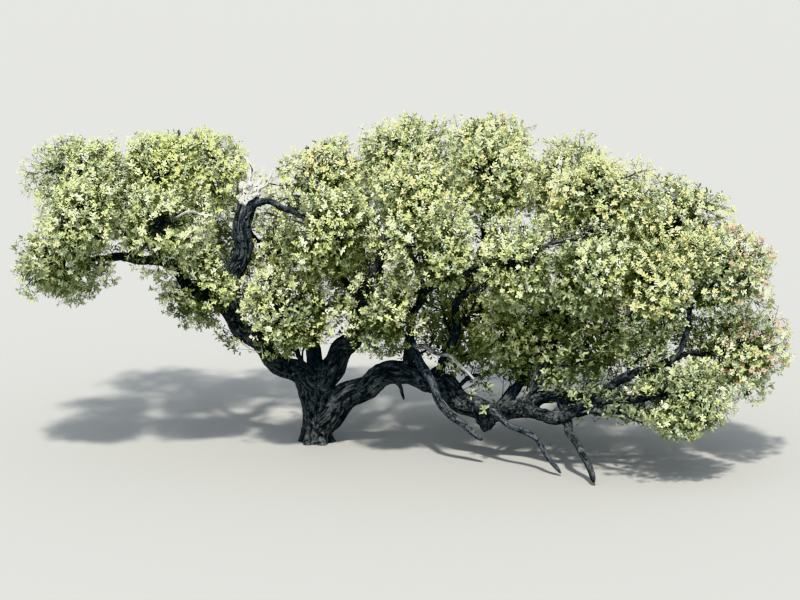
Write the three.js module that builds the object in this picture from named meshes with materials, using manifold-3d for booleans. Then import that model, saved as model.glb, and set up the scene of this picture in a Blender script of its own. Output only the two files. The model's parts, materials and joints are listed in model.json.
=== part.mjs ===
// A broad old oak: a short trunk that widens to its fork, a left bough with a dead, broken top, and one great
// low limb that arches to the right, dips and spreads out into the wide side of the crown.
// Millimetres, +Z up. The origin is the middle of the flat cut under the trunk, at ground level; +X is the
// great limb's side and +Y is away from the side that the tree is looked at from.
import * as THREE from "three";
import { mergeVertices } from "three/addons/utils/BufferGeometryUtils.js";
import Module from "manifold-3d";

const wasm = await Module();
wasm.setup();

// Clearance between two pieces that meet, and the room that foliage keeps to what it must not touch.
const GAP = 0.3;
const LEAF_CLEARANCE = 12;
const SPACE_MARGIN = 10;

// Slivers below these sizes are merged away: where pieces meet, less than the gap, and among leaves.
const LIMB_TIDY = 0.2;
const FOLIAGE_TIDY = 10;

// Trunk: its top, its radii at the waist, the fork and the rounded crown, and the swelling of its root flare.
const TRUNK_TOP = [-30, 0, 3050];
const TRUNK_WAIST_RADIUS = 500;
const TRUNK_FORK_RADIUS = 860;
const TRUNK_CROWN_RADIUS = 560;
const TRUNK_DEPTH_SHARE = 0.82; // the trunk is deeper in X than in Y, most of all at the fork
const TRUNK_WIDENS = [0.3, 0.94, 1.3]; // from and to these shares of its height, and how late
const TRUNK_CLOSES = [0.93, 1];
const FLARE_RADIUS = 300;
const FLARE_HEIGHT = 420;
const ROOT_RIDGES = 6;
const RIDGE_SHARE = 0.42;
const RIDGE_TURN = 0.6;
const TRUNK_SIDES = 18;
const TRUNK_RINGS = 7;

// Limbs: how far a curve swings between its two headings, how far it wanders, and the collar where it starts.
const SWEEP = 1.05;
const WANDER = 0.028;
const WANDER_WAVES = [3, 4.4];
const COLLAR_SHARE = 0.3;
const COLLAR_REACH = 1.4;
const START_DEPTH = 0.6; // of the radius of what it grows from, where it starts at that one's tip
const LIMB_STEP = 1000;
const LIMB_RINGS = [4, 8];
const LIMB_SIDES = [[350, 9], [200, 7], [0, 5]]; // from each radius at the foot up

// Foliage: each mass is a stem, twigs and leaves in a space of its own. A leaf stands for a whole spray. The
// crown is dense, so each mass has a core of shaded twigs and leaves that the sprays stand out of.
const SPACE_FILL = [1.28, 1.28, 1.2]; // the spaces swell by this towards each other
const STEM_REACH = 0.5;
const STEM_RADII = [70, 26];
const STEM_SHARE = 0.75; // of its bough's radius, at most
const STEM_RINGS = 4;
const TWIGS = 6;
const TWIG_REACHES = [0.64, 0.6, 0.45]; // the furthest that fits is taken
const TWIG_MARGIN = 0.08;
const TWIG_STARTS = [0.42, 0.92]; // along the stem
const TWIG_RADII = [34, 14];
const TWIG_RINGS = 2;
const THREE_SIDES = 3;
const LEAVES_AT_TIP = [3, 2]; // in turn
const LEAF_ROOT = 0.985; // along its twig
const LEAF_LENGTH = 1700;
const LEAF_WIDTH_SHARE = 0.72;
const LEAF_THICKNESS_SHARE = 0.024;
const LEAF_WIDEST = 0.2; // how far past its middle a leaf is widest, as a share of its half length
const LEAF_OUTWARD = 0.75;
const LEAF_UPWARD = 0.35;
const LEAF_TRIES = [1, 0.85, 0.7, 0.55];
const CORE_REACH = 0.64;
const CORE_BUMPS = 0.22;
const CORE_WALL_SHARE = 0.93; // of the way to a neighbour's space
const GOLDEN_ANGLE = Math.PI * (3 - Math.sqrt(5));

const BARK = { color: 0x55524e, roughness: 0.95, metalness: 0 };
const DEAD_WOOD = { color: 0xb9b4aa, roughness: 0.85, metalness: 0 };
const FOLIAGE = { color: 0x7f9350, roughness: 0.7, metalness: 0 };

// Each limb: its name, what it grows from and how far along that, the heading that it leaves with (degrees
// round from +X towards +Y, degrees above the level), its tip, the heading there, and its two radii.
const LIMBS = [
  ["left_bough", "trunk", 0.78, [178, 33], [-3500, 300, 5550], [165, 66], [420, 350]],
  ["snag", "left_bough", 1, [-10, 72], [-2600, 600, 10250], [-5, 74], [340, 400]],
  ["snag_hook", "snag", 0.87, [-15, 48], [-470, 0, 9250], [-10, -24], [165, 95]],
  ["left_arm", "left_bough", 0.86, [190, 44], [-8100, -1500, 7930], [188, -8], [260, 165]],
  ["left_crook", "left_arm", 0.8, [150, 66], [-9300, -2200, 10300], [190, 12], [130, 85]],
  ["left_spur", "left_arm", 0.42, [160, 62], [-6000, -1500, 9700], [175, 76], [125, 85]],
  ["left_back", "left_bough", 0.97, [125, 40], [-5900, 3400, 9000], [150, 45], [220, 120]],
  ["middle_bough", "trunk", 0.8, [5, 40], [2480, 1000, 7020], [25, 66], [490, 290]],
  ["middle_top", "middle_bough", 1, [25, 66], [3740, 2400, 9700], [25, 60], [255, 130]],
  ["back_bough", "trunk", 0.86, [95, 42], [-300, 3900, 6900], [100, 48], [330, 185]],
  ["great_limb_rise", "trunk", 0.2, [-5, 42], [3750, -1000, 3150], [-18, 2], [550, 450]],
  ["great_limb_dip", "great_limb_rise", 1, [-18, 0], [6880, -2400, 1850], [-24, -12], [460, 420]],
  ["low_run", "great_limb_dip", 1, [-24, 0], [13570, -5000, 3350], [-4, 8], [310, 130]],
  ["upper_run", "great_limb_dip", 0.7, [-20, -4], [13970, -4200, 4520], [4, 26], [280, 155]],
  ["right_rise", "upper_run", 1, [4, 34], [14720, -3500, 6500], [15, 70], [145, 95]],
  ["right_riser", "upper_run", 0.34, [70, 68], [10100, -2400, 6100], [-70, 62], [150, 95]],
  ["right_back", "upper_run", 0.2, [60, 46], [12300, 2100, 6500], [30, 48], [205, 115]],
  ["down_limb", "upper_run", 0.47, [-80, -46], [10850, -6200, 130], [-58, -52], [200, 120]],
  ["prop_limb", "great_limb_dip", 0.84, [-75, 16], [9650, -4900, 110], [-35, -58], [165, 90]],
  ["s_limb", "great_limb_dip", 0.06, [110, 80], [4360, -1800, 6700], [-20, 62], [205, 135]],
  ["s_left", "s_limb", 1, [170, 68], [3670, -2300, 8600], [170, 52], [115, 80]],
  ["s_right", "s_limb", 1, [0, 26], [7300, -2400, 8050], [0, 18], [125, 80]],
  ["hanging_limb", "s_limb", 0.32, [-75, -8], [6650, -3500, 1050], [-14, -26], [200, 130]],
  ["centre_riser", "great_limb_dip", 0.42, [60, 78], [6700, 500, 7900], [40, 64], [185, 120]],
  ["long_branch", "centre_riser", 0.62, [-30, 34], [10900, -1500, 8900], [6, 12], [125, 80]],
  ["centre_back", "centre_riser", 0.84, [80, 44], [8000, 4100, 9000], [50, 38], [130, 85]],
];

// The shattered top of the snag, fused to it: the same sizes as a limb's.
const SPLINTERS = [
  ["spike", "snag", 0.98, [60, 80], [-2840, 700, 11640], [184, 46], [150, 30]],
  ["prong", "snag", 0.97, [-5, 22], [-1690, 400, 11160], [0, 78], [140, 30]],
];

const DEAD_LIMBS = new Set(["snag", "snag_hook", "hanging_limb", "prop_limb"]);

// Each mass of foliage: its name, the limb whose tip its stem meets, the middle of its space, and how far
// that reaches along X, Y and Z before it swells. A stem that comes out of a side says how far along and
// with which heading.
const MASSES = [
  ["far_left", "left_arm", [-9700, -2300, 8000], [2000, 2000, 1500]],
  ["left_top", "left_crook", [-9200, -300, 11000], [2150, 2100, 1650]],
  ["left_front", "left_crook", [-8900, -3300, 9900], [1900, 1500, 1500]],
  ["left_middle", "left_spur", [-5900, -2800, 9400], [1950, 1600, 1500]],
  ["left_high", "left_spur", [-6100, -100, 11200], [1950, 1900, 1500]],
  ["left_inner", "left_bough", [-4500, -1500, 6900], [1700, 1400, 2000], 0.95, [-110, 20]],
  ["left_near_top", "left_back", [-4600, 2300, 10800], [1700, 1800, 1600]],
  ["left_rear", "left_back", [-7500, 4700, 9300], [2700, 2300, 2350]],
  ["crotch_front", "trunk", [-1100, -1600, 5700], [2000, 1500, 1650], 0.86, [-100, 20]],
  ["middle_front", "middle_bough", [500, -1800, 9100], [2700, 1700, 1600], 0.7, [200, 62]],
  ["middle_crown", "middle_top", [3600, 2200, 11200], [2200, 2100, 1600]],
  ["middle_rear", "middle_top", [3300, 5400, 10100], [2300, 2000, 1900]],
  ["middle_high", "back_bough", [400, 2000, 10300], [1900, 1900, 1600]],
  ["back_left", "back_bough", [-2700, 5300, 7200], [2300, 2000, 2700]],
  ["back_right", "back_bough", [1200, 5900, 7000], [2100, 1900, 2600]],
  ["hanging_clump", "s_limb", [2800, -2900, 6000], [1350, 1250, 1600]],
  ["s_top", "s_left", [4000, -1300, 10300], [1900, 1800, 1500]],
  ["s_front", "s_left", [4700, -3700, 8700], [1700, 1400, 1500]],
  ["right_front", "s_right", [7900, -3300, 8000], [1900, 1600, 1500]],
  ["centre_top", "centre_riser", [7000, 300, 10900], [2100, 2000, 1600]],
  ["rear_top", "centre_back", [7100, 4700, 11000], [2200, 2200, 1700]],
  ["rear_right", "centre_back", [10500, 4900, 9700], [2200, 2300, 1900]],
  ["long_end", "long_branch", [11300, -300, 10200], [2200, 2100, 1700]],
  ["riser_front", "right_riser", [10600, -3600, 7900], [1900, 1600, 1600]],
  ["riser_low", "right_riser", [8500, -1400, 5000], [2000, 1600, 1800]],
  ["rear_low", "centre_riser", [6600, 3500, 4800], [2600, 2100, 2400], 0.3, [75, 12]],
  ["right_low", "right_back", [11600, 2300, 4000], [2600, 2000, 2000], 0.5, [60, -5]],
  ["right_middle", "right_rise", [13300, -3500, 7300], [1900, 1700, 1800]],
  ["right_top", "right_rise", [16000, -3000, 7700], [2000, 1900, 1700]],
  ["right_crown", "right_back", [14500, 900, 8900], [2300, 2100, 1900]],
  ["right_rear", "right_back", [13500, 4000, 7400], [2400, 2300, 2600]],
  ["far_right", "upper_run", [16700, -2500, 4500], [1800, 2000, 1800]],
  ["low_end", "low_run", [14300, -5300, 3200], [2100, 1700, 1400]],
];

// Phases of the wandering curves, so that no two limbs or stems bend alike.
const LIMB_PHASE = 2.4;
const STEM_PHASE = 1.3;
const MASS_TURN = 1.7;
const TWIG_TURN_CHANCE = 0.8;
const LEAF_TURN_CHANCE = 0.3;
const LEAF_SEED = 40;

const { lerp, smoothstep, clamp, degToRad } = THREE.MathUtils;
const UP = new THREE.Vector3(0, 0, 1);
const vector = (xyz) => new THREE.Vector3(...xyz);

// A number from 0 to 1 that depends only on its two seeds.
function chance(seed, step) {
  const wave = Math.sin(seed * 12.9898 + step * 78.233) * 43758.5453;
  return wave - Math.floor(wave);
}

function heading([round, above]) {
  const [a, e] = [degToRad(round), degToRad(above)];
  return new THREE.Vector3(Math.cos(a) * Math.cos(e), Math.sin(a) * Math.cos(e), Math.sin(e));
}

// A curve from one point and heading to another, which wanders a little to both sides on its way.
class LimbCurve extends THREE.Curve {
  constructor(start, leaves, end, arrives, phase) {
    super();
    const chord = end.clone().sub(start);
    const length = chord.length();
    Object.assign(this, { start, end, length, phase, sway: WANDER * length });
    this.pull = leaves.clone().multiplyScalar(length * SWEEP);
    this.push = arrives.clone().multiplyScalar(length * SWEEP);
    this.side = chord.clone().cross(UP).normalize();
    this.lift = this.side.clone().cross(chord).normalize();
  }

  getPoint(t, target = new THREE.Vector3()) {
    const [t2, t3] = [t * t, t * t * t];
    const sway = this.sway * Math.sin(Math.PI * t);
    const [sideways, upwards] = WANDER_WAVES;
    return target
      .copy(this.start).multiplyScalar(2 * t3 - 3 * t2 + 1)
      .addScaledVector(this.pull, t3 - 2 * t2 + t)
      .addScaledVector(this.end, 3 * t2 - 2 * t3)
      .addScaledVector(this.push, t3 - t2)
      .addScaledVector(this.side, sway * Math.sin(sideways * Math.PI * t + this.phase))
      .addScaledVector(this.lift, sway * Math.sin(upwards * Math.PI * t + 1.7 * this.phase));
  }
}

// The trunk's radius on a side at a share of its height: flare, waist, widening fork and rounded crown.
function trunkRadius(t, angle) {
  const [from, to, lateness] = TRUNK_WIDENS;
  const body = lerp(TRUNK_WAIST_RADIUS, TRUNK_FORK_RADIUS, smoothstep(t, from, to) ** lateness);
  const ridges = 1 + RIDGE_SHARE * Math.cos(ROOT_RIDGES * angle + RIDGE_TURN);
  const flare = FLARE_RADIUS * Math.exp((-t * TRUNK_TOP[2]) / FLARE_HEIGHT) * ridges;
  return lerp(body, TRUNK_CROWN_RADIUS, smoothstep(t, ...TRUNK_CLOSES)) + flare;
}

function limbRadius(radii, length, collar, t) {
  const swell = collar * radii[0] * Math.exp((-t * length) / (COLLAR_REACH * radii[0]));
  return lerp(radii[0], radii[1], t) + swell;
}

// Makes a solid of a closed geometry, whose faces may all point inwards.
function solidOf(geometry) {
  geometry.deleteAttribute("normal");
  geometry.deleteAttribute("uv");
  const merged = mergeVertices(geometry, 1e-2);
  const vertProperties = new Float32Array(merged.attributes.position.array);
  const solid = (triVerts) => new wasm.Manifold(new wasm.Mesh({ numProp: 3, vertProperties, triVerts }));
  const made = solid(new Uint32Array(merged.index.array));
  return made.volume() > 0 ? made : solid(new Uint32Array(merged.index.array).reverse());
}

// A closed, capped tube: a cylinder's points are moved out to the curve's rings. It grows by `grow` all over.
function tube(curve, radiusAt, sides, rings, frameAt, grow) {
  const shape = new THREE.CylinderGeometry(1, 1, 1, sides, rings);
  const place = shape.getAttribute("position");
  for (let i = 0; i < place.count; i++) {
    const ring = Math.round((place.getY(i) + 0.5) * rings);
    const t = ring / rings;
    const frame = frameAt(ring);
    const angle = Math.atan2(place.getZ(i), place.getX(i));
    const radius = Math.hypot(place.getX(i), place.getZ(i)) * (radiusAt(t, angle) + grow);
    const past = ring === 0 ? -grow : ring === rings ? grow : 0;
    const point = curve.getPoint(t)
      .addScaledVector(frame.across, radius * Math.cos(angle))
      .addScaledVector(frame.over, radius * frame.depth * Math.sin(angle))
      .addScaledVector(frame.along, past);
    place.setXYZ(i, ...point);
  }
  return solidOf(shape);
}

// Frames square to a curve, each turned as little as it can be from the one before.
function limbFrames(curve, rings) {
  const nearby = 0.01;
  const along = (t) => {
    const ahead = curve.getPoint(Math.min(1, t + nearby));
    return ahead.sub(curve.getPoint(Math.max(0, t - nearby))).normalize();
  };
  let across = Math.abs(along(0).z) > 0.9 ? new THREE.Vector3(1, 0, 0) : UP.clone();
  const frames = [];
  for (let ring = 0; ring <= rings; ring++) {
    const tangent = along(ring / rings);
    across = across.clone().addScaledVector(tangent, -across.dot(tangent)).normalize();
    frames.push({ along: tangent, across, over: tangent.clone().cross(across), depth: 1 });
  }
  return (ring) => frames[ring];
}

const near = (a, b) => {
  const [p, q] = [a.boundingBox(), b.boundingBox()];
  return [0, 1, 2].every((i) => p.min[i] <= q.max[i] && q.min[i] <= p.max[i]);
};

const touches = (solid, others) =>
  others.some((other) => near(solid, other) && !solid.intersect(other).isEmpty());

const largestPiece = (solid) => solid.decompose().reduce((a, b) => (a.volume() > b.volume() ? a : b));

// Cuts a solid clear of what is already built, and keeps its largest piece.
function cutClear(solid, others) {
  let left = solid;
  for (const other of others) if (near(left, other)) left = left.subtract(other);
  return largestPiece(left);
}

// A limb's three solids: its own, one grown by the gap, and one grown by the room that leaves keep to it.
function solidsOf(make) {
  return { solid: make(0), grown: make(GAP), clear: make(LEAF_CLEARANCE) };
}

function growTrunk() {
  const curve = new THREE.LineCurve3(new THREE.Vector3(), vector(TRUNK_TOP));
  const [across, over] = [new THREE.Vector3(1, 0, 0), new THREE.Vector3(0, 1, 0)];
  const frameAt = (ring) => {
    return { along: UP, across, over, depth: lerp(1, TRUNK_DEPTH_SHARE, ring / TRUNK_RINGS) };
  };
  const make = (grow) => tube(curve, trunkRadius, TRUNK_SIDES, TRUNK_RINGS, frameAt, grow);
  return { curve, radii: [TRUNK_FORK_RADIUS, TRUNK_CROWN_RADIUS], tipHeading: UP, ...solidsOf(make) };
}

// A limb that starts on, or at the tip of, what it grows from.
function growLimb([, , share, leaves, tip, arrives, radii], from, phase) {
  const way = heading(leaves);
  const start = from.curve.getPoint(share);
  const atTip = share === 1;
  if (atTip) start.addScaledVector(way, -START_DEPTH * from.radii[1]);
  const tipHeading = heading(arrives);
  const curve = new LimbCurve(start, way, vector(tip), tipHeading, phase);
  const rings = clamp(Math.ceil(curve.length / LIMB_STEP), ...LIMB_RINGS);
  const sides = LIMB_SIDES.find(([radius]) => radii[0] > radius)[1];
  const radiusAt = (t) => limbRadius(radii, curve.length, atTip ? 0 : COLLAR_SHARE, t);
  const frameAt = limbFrames(curve, rings);
  const make = (grow) => tube(curve, radiusAt, sides, rings, frameAt, grow);
  return { curve, radii, tipHeading, ...solidsOf(make) };
}

// The trunk and limbs by name, each cut clear of those before it.
const wood = new Map([["trunk", growTrunk()]]);
LIMBS.forEach((row, index) => {
  const [name, parent] = row;
  const limb = growLimb(row, wood.get(parent), index * LIMB_PHASE);
  SPLINTERS.forEach((splinter, i) => {
    if (splinter[1] !== name) return;
    const piece = growLimb(splinter, limb, (i + LIMBS.length) * LIMB_PHASE);
    for (const kind of ["solid", "grown", "clear"]) limb[kind] = limb[kind].add(piece[kind]);
  });
  const others = [...wood.values()].map((other) => other.grown);
  limb.solid = largestPiece(cutClear(limb.solid, others).simplify(LIMB_TIDY));
  wood.set(name, limb);
});

const masses = MASSES.map(([name, bough, middle, reach, share = 1, leaves], index) => {
  const space = { middle: vector(middle), reach: vector(reach).multiply(vector(SPACE_FILL)) };
  return { name, bough, share, leaves, index, ...space };
});

const reachAlong = (mass, way) => 1 / way.clone().divide(mass.reach).length();

// The flat walls between a mass's space and its neighbours': how far each is from the mass's middle.
for (const mass of masses) {
  mass.walls = masses.filter((other) => other !== mass).map((other) => {
    const way = other.middle.clone().sub(mass.middle);
    const distance = way.length();
    way.normalize();
    const [own, theirs] = [reachAlong(mass, way), reachAlong(other, way)];
    return { way, limit: (distance * own) / (own + theirs) - SPACE_MARGIN };
  });
}

// Whether a point is inside a mass's space.
function holds(mass, point) {
  const offset = point.clone().sub(mass.middle);
  const inReach = offset.clone().divide(mass.reach).length() <= 1;
  return inReach && mass.walls.every(({ way, limit }) => offset.dot(way) < limit);
}

// The stem of a mass: from its bough, past the middle of its space, towards the far side of it.
function growStem(mass) {
  const from = wood.get(mass.bough);
  const start = from.curve.getPoint(mass.share);
  const toMiddle = mass.middle.clone().sub(start).normalize();
  const onwards = from.tipHeading.clone().addScaledVector(toMiddle, 2).normalize();
  const way = mass.leaves ? heading(mass.leaves) : onwards;
  if (!mass.leaves) start.addScaledVector(way, -START_DEPTH * from.radii[1]);
  const end = mass.middle.clone().addScaledVector(toMiddle, STEM_REACH * reachAlong(mass, toMiddle));
  const curve = new LimbCurve(start, way, end, toMiddle, mass.index * STEM_PHASE);
  const radii = [Math.min(STEM_RADII[0], STEM_SHARE * from.radii[1]), STEM_RADII[1]];
  const radiusAt = (t) => lerp(radii[0], radii[1], t);
  const frameAt = limbFrames(curve, STEM_RINGS);
  const make = (grow) => tube(curve, radiusAt, THREE_SIDES, STEM_RINGS, frameAt, grow);
  return { curve, solid: make(0), clear: make(LEAF_CLEARANCE) };
}

const woodGrown = [...wood.values()].map((limb) => limb.grown);
const woodClear = [...wood.values()].map((limb) => limb.clear);
const stemsClear = [];
for (const mass of masses) {
  mass.stem = growStem(mass);
  mass.stem.solid = cutClear(mass.stem.solid, [...woodGrown, ...stemsClear]);
  stemsClear.push(mass.stem.clear);
}

// A leaf: a thin plate of eight faces from its root along `way`, facing `face`.
function leaf(root, way, face, length) {
  const shape = new THREE.OctahedronGeometry(1, 0);
  const place = shape.getAttribute("position");
  const across = face.clone().cross(way).normalize();
  const thick = way.clone().cross(across).normalize();
  const half = 0.5 * length;
  const corners = [];
  for (let i = 0; i < place.count; i++) {
    const [x, y, z] = [place.getX(i), place.getY(i), place.getZ(i)];
    const point = root.clone()
      .addScaledVector(way, half * (1 + x + LEAF_WIDEST * (1 - Math.abs(x))))
      .addScaledVector(across, half * LEAF_WIDTH_SHARE * y)
      .addScaledVector(thick, half * LEAF_THICKNESS_SHARE * z);
    place.setXYZ(i, ...point);
    corners.push(point);
  }
  return { solid: solidOf(shape), corners };
}

// A fan of leaves round a twig's tip: each leans outwards, and faces out of the mass and up.
function growLeaves(mass, root, way, count, step, others) {
  const face = way.clone().divide(mass.reach).normalize().addScaledVector(UP, LEAF_UPWARD).normalize();
  const first = (Math.abs(face.z) > 0.9 ? new THREE.Vector3(1, 0, 0) : UP.clone()).cross(face).normalize();
  const second = face.clone().cross(first);
  const made = [];
  for (let i = 0; i < count; i++) {
    const place = i + chance(mass.index + LEAF_SEED, step) + LEAF_TURN_CHANCE * chance(step, i);
    const turn = (place * 2 * Math.PI) / count;
    const spread = first.clone().multiplyScalar(Math.cos(turn)).addScaledVector(second, Math.sin(turn));
    const leafWay = spread.addScaledVector(face, LEAF_OUTWARD).normalize();
    const sizes = LEAF_TRIES.map((share) => leaf(root, leafWay, face, LEAF_LENGTH * share));
    const fits = ({ solid, corners }) =>
      corners.every((corner) => holds(mass, corner)) && !touches(solid, others);
    const largest = sizes.find(fits);
    if (largest) made.push(largest.solid);
  }
  return made;
}

// The way that a mass's twig takes from its middle: one of an even spread over a ball.
function twigWay(mass, step) {
  const height = 1 - (2 * (step + 0.5)) / TWIGS;
  const level = Math.sqrt(1 - height * height);
  const turn = step * GOLDEN_ANGLE + mass.index * MASS_TURN + chance(mass.index, step) * TWIG_TURN_CHANCE;
  return new THREE.Vector3(level * Math.cos(turn), level * Math.sin(turn), height);
}

// A twig from its mass's stem outwards, with the leaves at its tip, without those that don't fit.
function growTwig(mass, step, others) {
  const way = twigWay(mass, step);
  const along = (reach) => mass.middle.clone().addScaledVector(way, reach * reachAlong(mass, way));
  const reach = TWIG_REACHES.find((share) => holds(mass, along(share + TWIG_MARGIN)));
  if (reach === undefined) return [];
  const end = along(reach);
  const stemWay = mass.stem.curve.end.clone().sub(mass.stem.curve.start).normalize();
  const start = mass.stem.curve.getPoint(lerp(...TWIG_STARTS, 0.5 + 0.5 * way.dot(stemWay)));
  const leaves = end.clone().sub(start).normalize().addScaledVector(stemWay, 0.5).normalize();
  const curve = new LimbCurve(start, leaves, end, way, step);
  const radiusAt = (t) => lerp(...TWIG_RADII, t);
  const solid = tube(curve, radiusAt, THREE_SIDES, TWIG_RINGS, limbFrames(curve, TWIG_RINGS), 0);
  const inside = [0.5, 1].every((t) => holds(mass, curve.getPoint(t)));
  if (!inside || touches(solid, others)) return [];
  const count = LEAVES_AT_TIP[step % LEAVES_AT_TIP.length];
  return [solid, ...growLeaves(mass, curve.getPoint(LEAF_ROOT), way, count, step, others)];
}

// The core of a mass: a lumpy ball that stays in its own space and is cut clear of limbs and foreign stems.
function growCore(mass, others) {
  const shape = new THREE.DodecahedronGeometry(1, 0);
  const place = shape.getAttribute("position");
  for (let i = 0; i < place.count; i++) {
    const way = new THREE.Vector3().fromBufferAttribute(place, i).normalize();
    const corner = Math.round(50 * way.x) + Math.round(700 * way.y) + Math.round(9000 * way.z);
    const bump = 1 + CORE_BUMPS * (2 * chance(mass.index, corner) - 1);
    const walls = mass.walls.map((wall) => {
      const slant = wall.way.dot(way);
      return slant > 0 ? (CORE_WALL_SHARE * wall.limit) / slant : Infinity;
    });
    const reach = Math.min(CORE_REACH * reachAlong(mass, way) * bump, ...walls);
    place.setXYZ(i, ...mass.middle.clone().addScaledVector(way, reach));
  }
  return cutClear(solidOf(shape), others);
}

// Fuses a mass's core, twigs, leaves and stem, and drops any scrap that isn't joined to them.
function growMass(mass) {
  const others = [...woodClear, ...stemsClear.filter((clear) => clear !== mass.stem.clear)];
  const pieces = [growCore(mass, others)];
  for (let step = 0; step < TWIGS; step++) pieces.push(...growTwig(mass, step, others));
  const sprays = wasm.Manifold.union(pieces).simplify(FOLIAGE_TIDY);
  return largestPiece(sprays.add(mass.stem.solid).simplify(LIMB_TIDY));
}

function meshOf(name, solid, finish) {
  const { vertProperties, triVerts } = solid.getMesh();
  const geometry = new THREE.BufferGeometry();
  geometry.setAttribute("position", new THREE.BufferAttribute(new Float32Array(vertProperties), 3));
  geometry.setIndex(new THREE.BufferAttribute(new Uint32Array(triVerts), 1));
  const mesh = new THREE.Mesh(geometry, new THREE.MeshStandardMaterial(finish));
  mesh.name = name;
  return mesh;
}

const oak = new THREE.Group();
for (const [name, limb] of wood) {
  oak.add(meshOf(name, limb.solid, DEAD_LIMBS.has(name) ? DEAD_WOOD : BARK));
}
for (const mass of masses) oak.add(meshOf(`foliage_${mass.name}`, growMass(mass), FOLIAGE));

export default oak;
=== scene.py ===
# The looks of a broad old oak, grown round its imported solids. Metres, +Z up, in the frame that they share.
# The trunk and limbs get a skin of furrowed bark or split dead wood. The crown grows on from the limbs' tips
# by the rule that made the solids, carried on to fine shoots that each end in a spray of lobed leaves.
import json
import math

import bmesh
import bpy
import numpy as np
from mathutils.kdtree import KDTree
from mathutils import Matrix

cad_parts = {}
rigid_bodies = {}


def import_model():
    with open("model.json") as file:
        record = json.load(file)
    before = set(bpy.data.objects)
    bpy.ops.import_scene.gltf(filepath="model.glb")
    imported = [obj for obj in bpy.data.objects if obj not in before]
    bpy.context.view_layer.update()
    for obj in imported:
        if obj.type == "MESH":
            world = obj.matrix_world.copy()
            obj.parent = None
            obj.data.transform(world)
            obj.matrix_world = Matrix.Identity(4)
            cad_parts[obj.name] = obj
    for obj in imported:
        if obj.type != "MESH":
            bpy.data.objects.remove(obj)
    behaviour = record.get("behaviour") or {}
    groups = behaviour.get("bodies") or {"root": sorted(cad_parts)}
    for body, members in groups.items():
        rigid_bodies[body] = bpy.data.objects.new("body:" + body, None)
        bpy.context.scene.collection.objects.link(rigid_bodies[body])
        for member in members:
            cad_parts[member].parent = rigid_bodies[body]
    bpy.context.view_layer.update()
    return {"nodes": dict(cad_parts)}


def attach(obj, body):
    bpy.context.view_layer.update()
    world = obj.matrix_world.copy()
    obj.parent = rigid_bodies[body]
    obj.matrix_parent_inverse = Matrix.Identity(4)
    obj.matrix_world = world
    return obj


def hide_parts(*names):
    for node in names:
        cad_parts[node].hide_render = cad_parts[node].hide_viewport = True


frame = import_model()

BODY = "root"
MM = 0.001
UP = np.array((0.0, 0.0, 1.0))
GOLDEN_ANGLE = math.pi * (3 - math.sqrt(5))

# Trunk: its top, its radii at the waist, the fork and the rounded crown, and the swelling of its root flare.
TRUNK_TOP = (-0.03, 0.0, 3.05)
TRUNK_WAIST_RADIUS = 0.5
TRUNK_FORK_RADIUS = 0.86
TRUNK_CROWN_RADIUS = 0.56
TRUNK_DEPTH_SHARE = 0.82
TRUNK_WIDENS = (0.3, 0.94, 1.3)
TRUNK_CLOSES = (0.93, 1.0)
FLARE_RADIUS = 0.3
FLARE_HEIGHT = 0.42
ROOT_RIDGES = 6
RIDGE_SHARE = 0.42
RIDGE_TURN = 0.6
BELOW_GROUND = 0.15  # the skin starts this far down and is then cut flat at ground level

# Limbs: how far a curve swings between its headings, how far it wanders to both sides, how crooked it is by
# its radius and over what lengths, and the collar where it starts. A broken limb's end closes from this share
# of its length, to this much of its section.
SWEEP = 1.05
WANDER = 0.028
WANDER_WAVES = (3, 4.4)
LIFT_PHASE = 1.7
CROOK_SHARE = 0.5
CROOK_MOST = 0.09
CROOK_LENGTH = 0.8
COLLAR_SHARE = 0.3
COLLAR_REACH = 1.4
START_DEPTH = 0.6
BROKEN_FROM = 0.9
BROKEN_SECTION = 0.1
LIMB_PHASE = 2.4
STEM_PHASE = 1.3
STEEP = 0.9  # a heading that rises more than this counts as upright

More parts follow.
